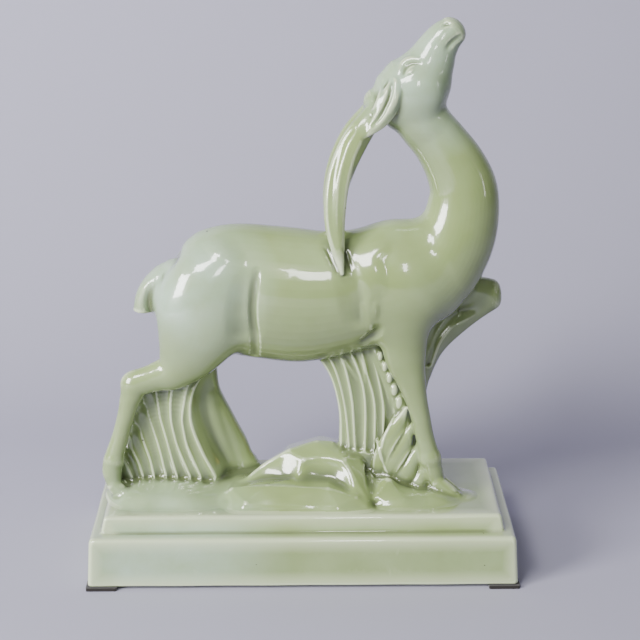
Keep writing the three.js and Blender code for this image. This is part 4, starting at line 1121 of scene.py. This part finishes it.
# ---------------------------------------------------------------- studio
SENSOR, FOCAL = 36, 100.4  # mm
PITCH, YAW, ROLL = 17.0, 0.55, -0.13  # degrees
LIGHTS = [  # name, azimuth, elevation, distance, size, power
    ("left_window", -52, 17, 2.0, (0.75, 0.85), 68),
    ("high_window", -27, 40, 2.0, (0.6, 0.5), 27),
    ("low_front", 3, 25, 1.3, (0.10, 0.26), 1.8),
    ("right_strip", 62, 10, 1.5, (0.06, 0.4), 0.5),
    ("overhead", 0, 70, 2.5, (2.5, 2.5), 3),
]
AIM = Vector((0, 0, 0.16))  # what the lights point at, in metres
PAPER_FRONT, PAPER_BEND, PAPER_WALL = -5.0, 0.2, 0.6  # y in metres
PAPER_TOP, PAPER_HALF_WIDTH = 2.2, 5.0
PAPER_BEND_STEPS = 16
ROOM_LIGHT, ROOM_SEEN = 0.04, 0.7  # the world's strength for other rays and the camera's


def studio_camera():
    data = bpy.data.cameras.new("camera")
    data.lens = FOCAL
    data.sensor_width = SENSOR
    camera = new_object("camera", data)
    turn = (Matrix.Rotation(math.radians(-YAW), 4, "Z")
            @ Matrix.Rotation(math.radians(90 - PITCH), 4, "X")
            @ Matrix.Rotation(math.radians(ROLL), 4, "Z"))
    camera.matrix_world = Matrix.Translation(Vector(EYE) * MM) @ turn
    bpy.context.scene.camera = camera


def softbox(name, azimuth, elevation, distance, size, power):
    """An area light that points at AIM; azimuth in degrees from the front towards +X."""
    data = bpy.data.lights.new(name, "AREA")
    data.shape = "RECTANGLE"
    data.size, data.size_y = size
    data.energy = power
    lamp = new_object(name, data)
    turn, tilt = math.radians(azimuth), math.radians(elevation)
    away = Vector((math.sin(turn) * math.cos(tilt), -math.cos(turn) * math.cos(tilt),
                   math.sin(tilt)))
    lamp.location = AIM + away * distance
    lamp.rotation_euler = (-away).to_track_quat("-Z", "Y").to_euler()


def backdrop():
    """A seamless paper sweep: floor, a wide curve, and a wall."""
    radius = PAPER_WALL - PAPER_BEND
    profile = [(PAPER_FRONT, 0.0), (PAPER_BEND, 0.0)]
    for step in range(1, PAPER_BEND_STEPS + 1):
        angle = math.pi / 2 * step / PAPER_BEND_STEPS
        profile.append((PAPER_BEND + radius * math.sin(angle), radius * (1 - math.cos(angle))))
    profile.append((PAPER_WALL, PAPER_TOP))
    half = PAPER_HALF_WIDTH
    points = np.array([(side * half, y, z) for y, z in profile for side in (-1, 1)]) / MM
    rows = np.arange(0, 2 * (len(profile) - 1), 2)
    quads = np.stack([rows, rows + 1, rows + 3, rows + 2], axis=1)
    sweep = new_object("sweep", new_mesh("sweep", points, quads))
    sweep.data.shade_smooth()
    sweep.data.materials.append(paper_material())


def paper_material():
    """Pale paper that is clear from behind, so that it hides nothing from the rear."""
    paper = plain_material("paper", "B2B0C2", 0.85, scale=3, grain=0.02)
    tree = paper.node_tree
    side = tree.nodes.new("ShaderNodeNewGeometry").outputs["Backfacing"]
    clear = tree.nodes.new("ShaderNodeBsdfTransparent").outputs["BSDF"]
    shown = tree.nodes.new("ShaderNodeMixShader")
    tree.links.new(side, shown.inputs[0])
    tree.links.new(tree.nodes["Principled BSDF"].outputs["BSDF"], shown.inputs[1])
    tree.links.new(clear, shown.inputs[2])
    tree.links.new(shown.outputs[0], tree.nodes["Material Output"].inputs["Surface"])
    return paper


def room():
    """A dim room that is pale only where the camera looks past the paper's edges."""
    world = bpy.data.worlds.new("room")
    world.use_nodes = True
    tree = world.node_tree
    strength = tree.nodes.new("ShaderNodeMapRange")
    strength.inputs["To Min"].default_value = ROOM_LIGHT
    strength.inputs["To Max"].default_value = ROOM_SEEN
    looking = tree.nodes.new("ShaderNodeLightPath").outputs["Is Camera Ray"]
    tree.links.new(looking, strength.inputs["Value"])
    tree.links.new(strength.outputs[0], tree.nodes["Background"].inputs["Strength"])
    tree.nodes["Background"].inputs["Color"].default_value = (0.62, 0.63, 0.7, 1)
    return world


def studio():
    studio_camera()
    backdrop()
    for light in LIGHTS:
        softbox(*light)
    bpy.context.scene.world = room()


studio()
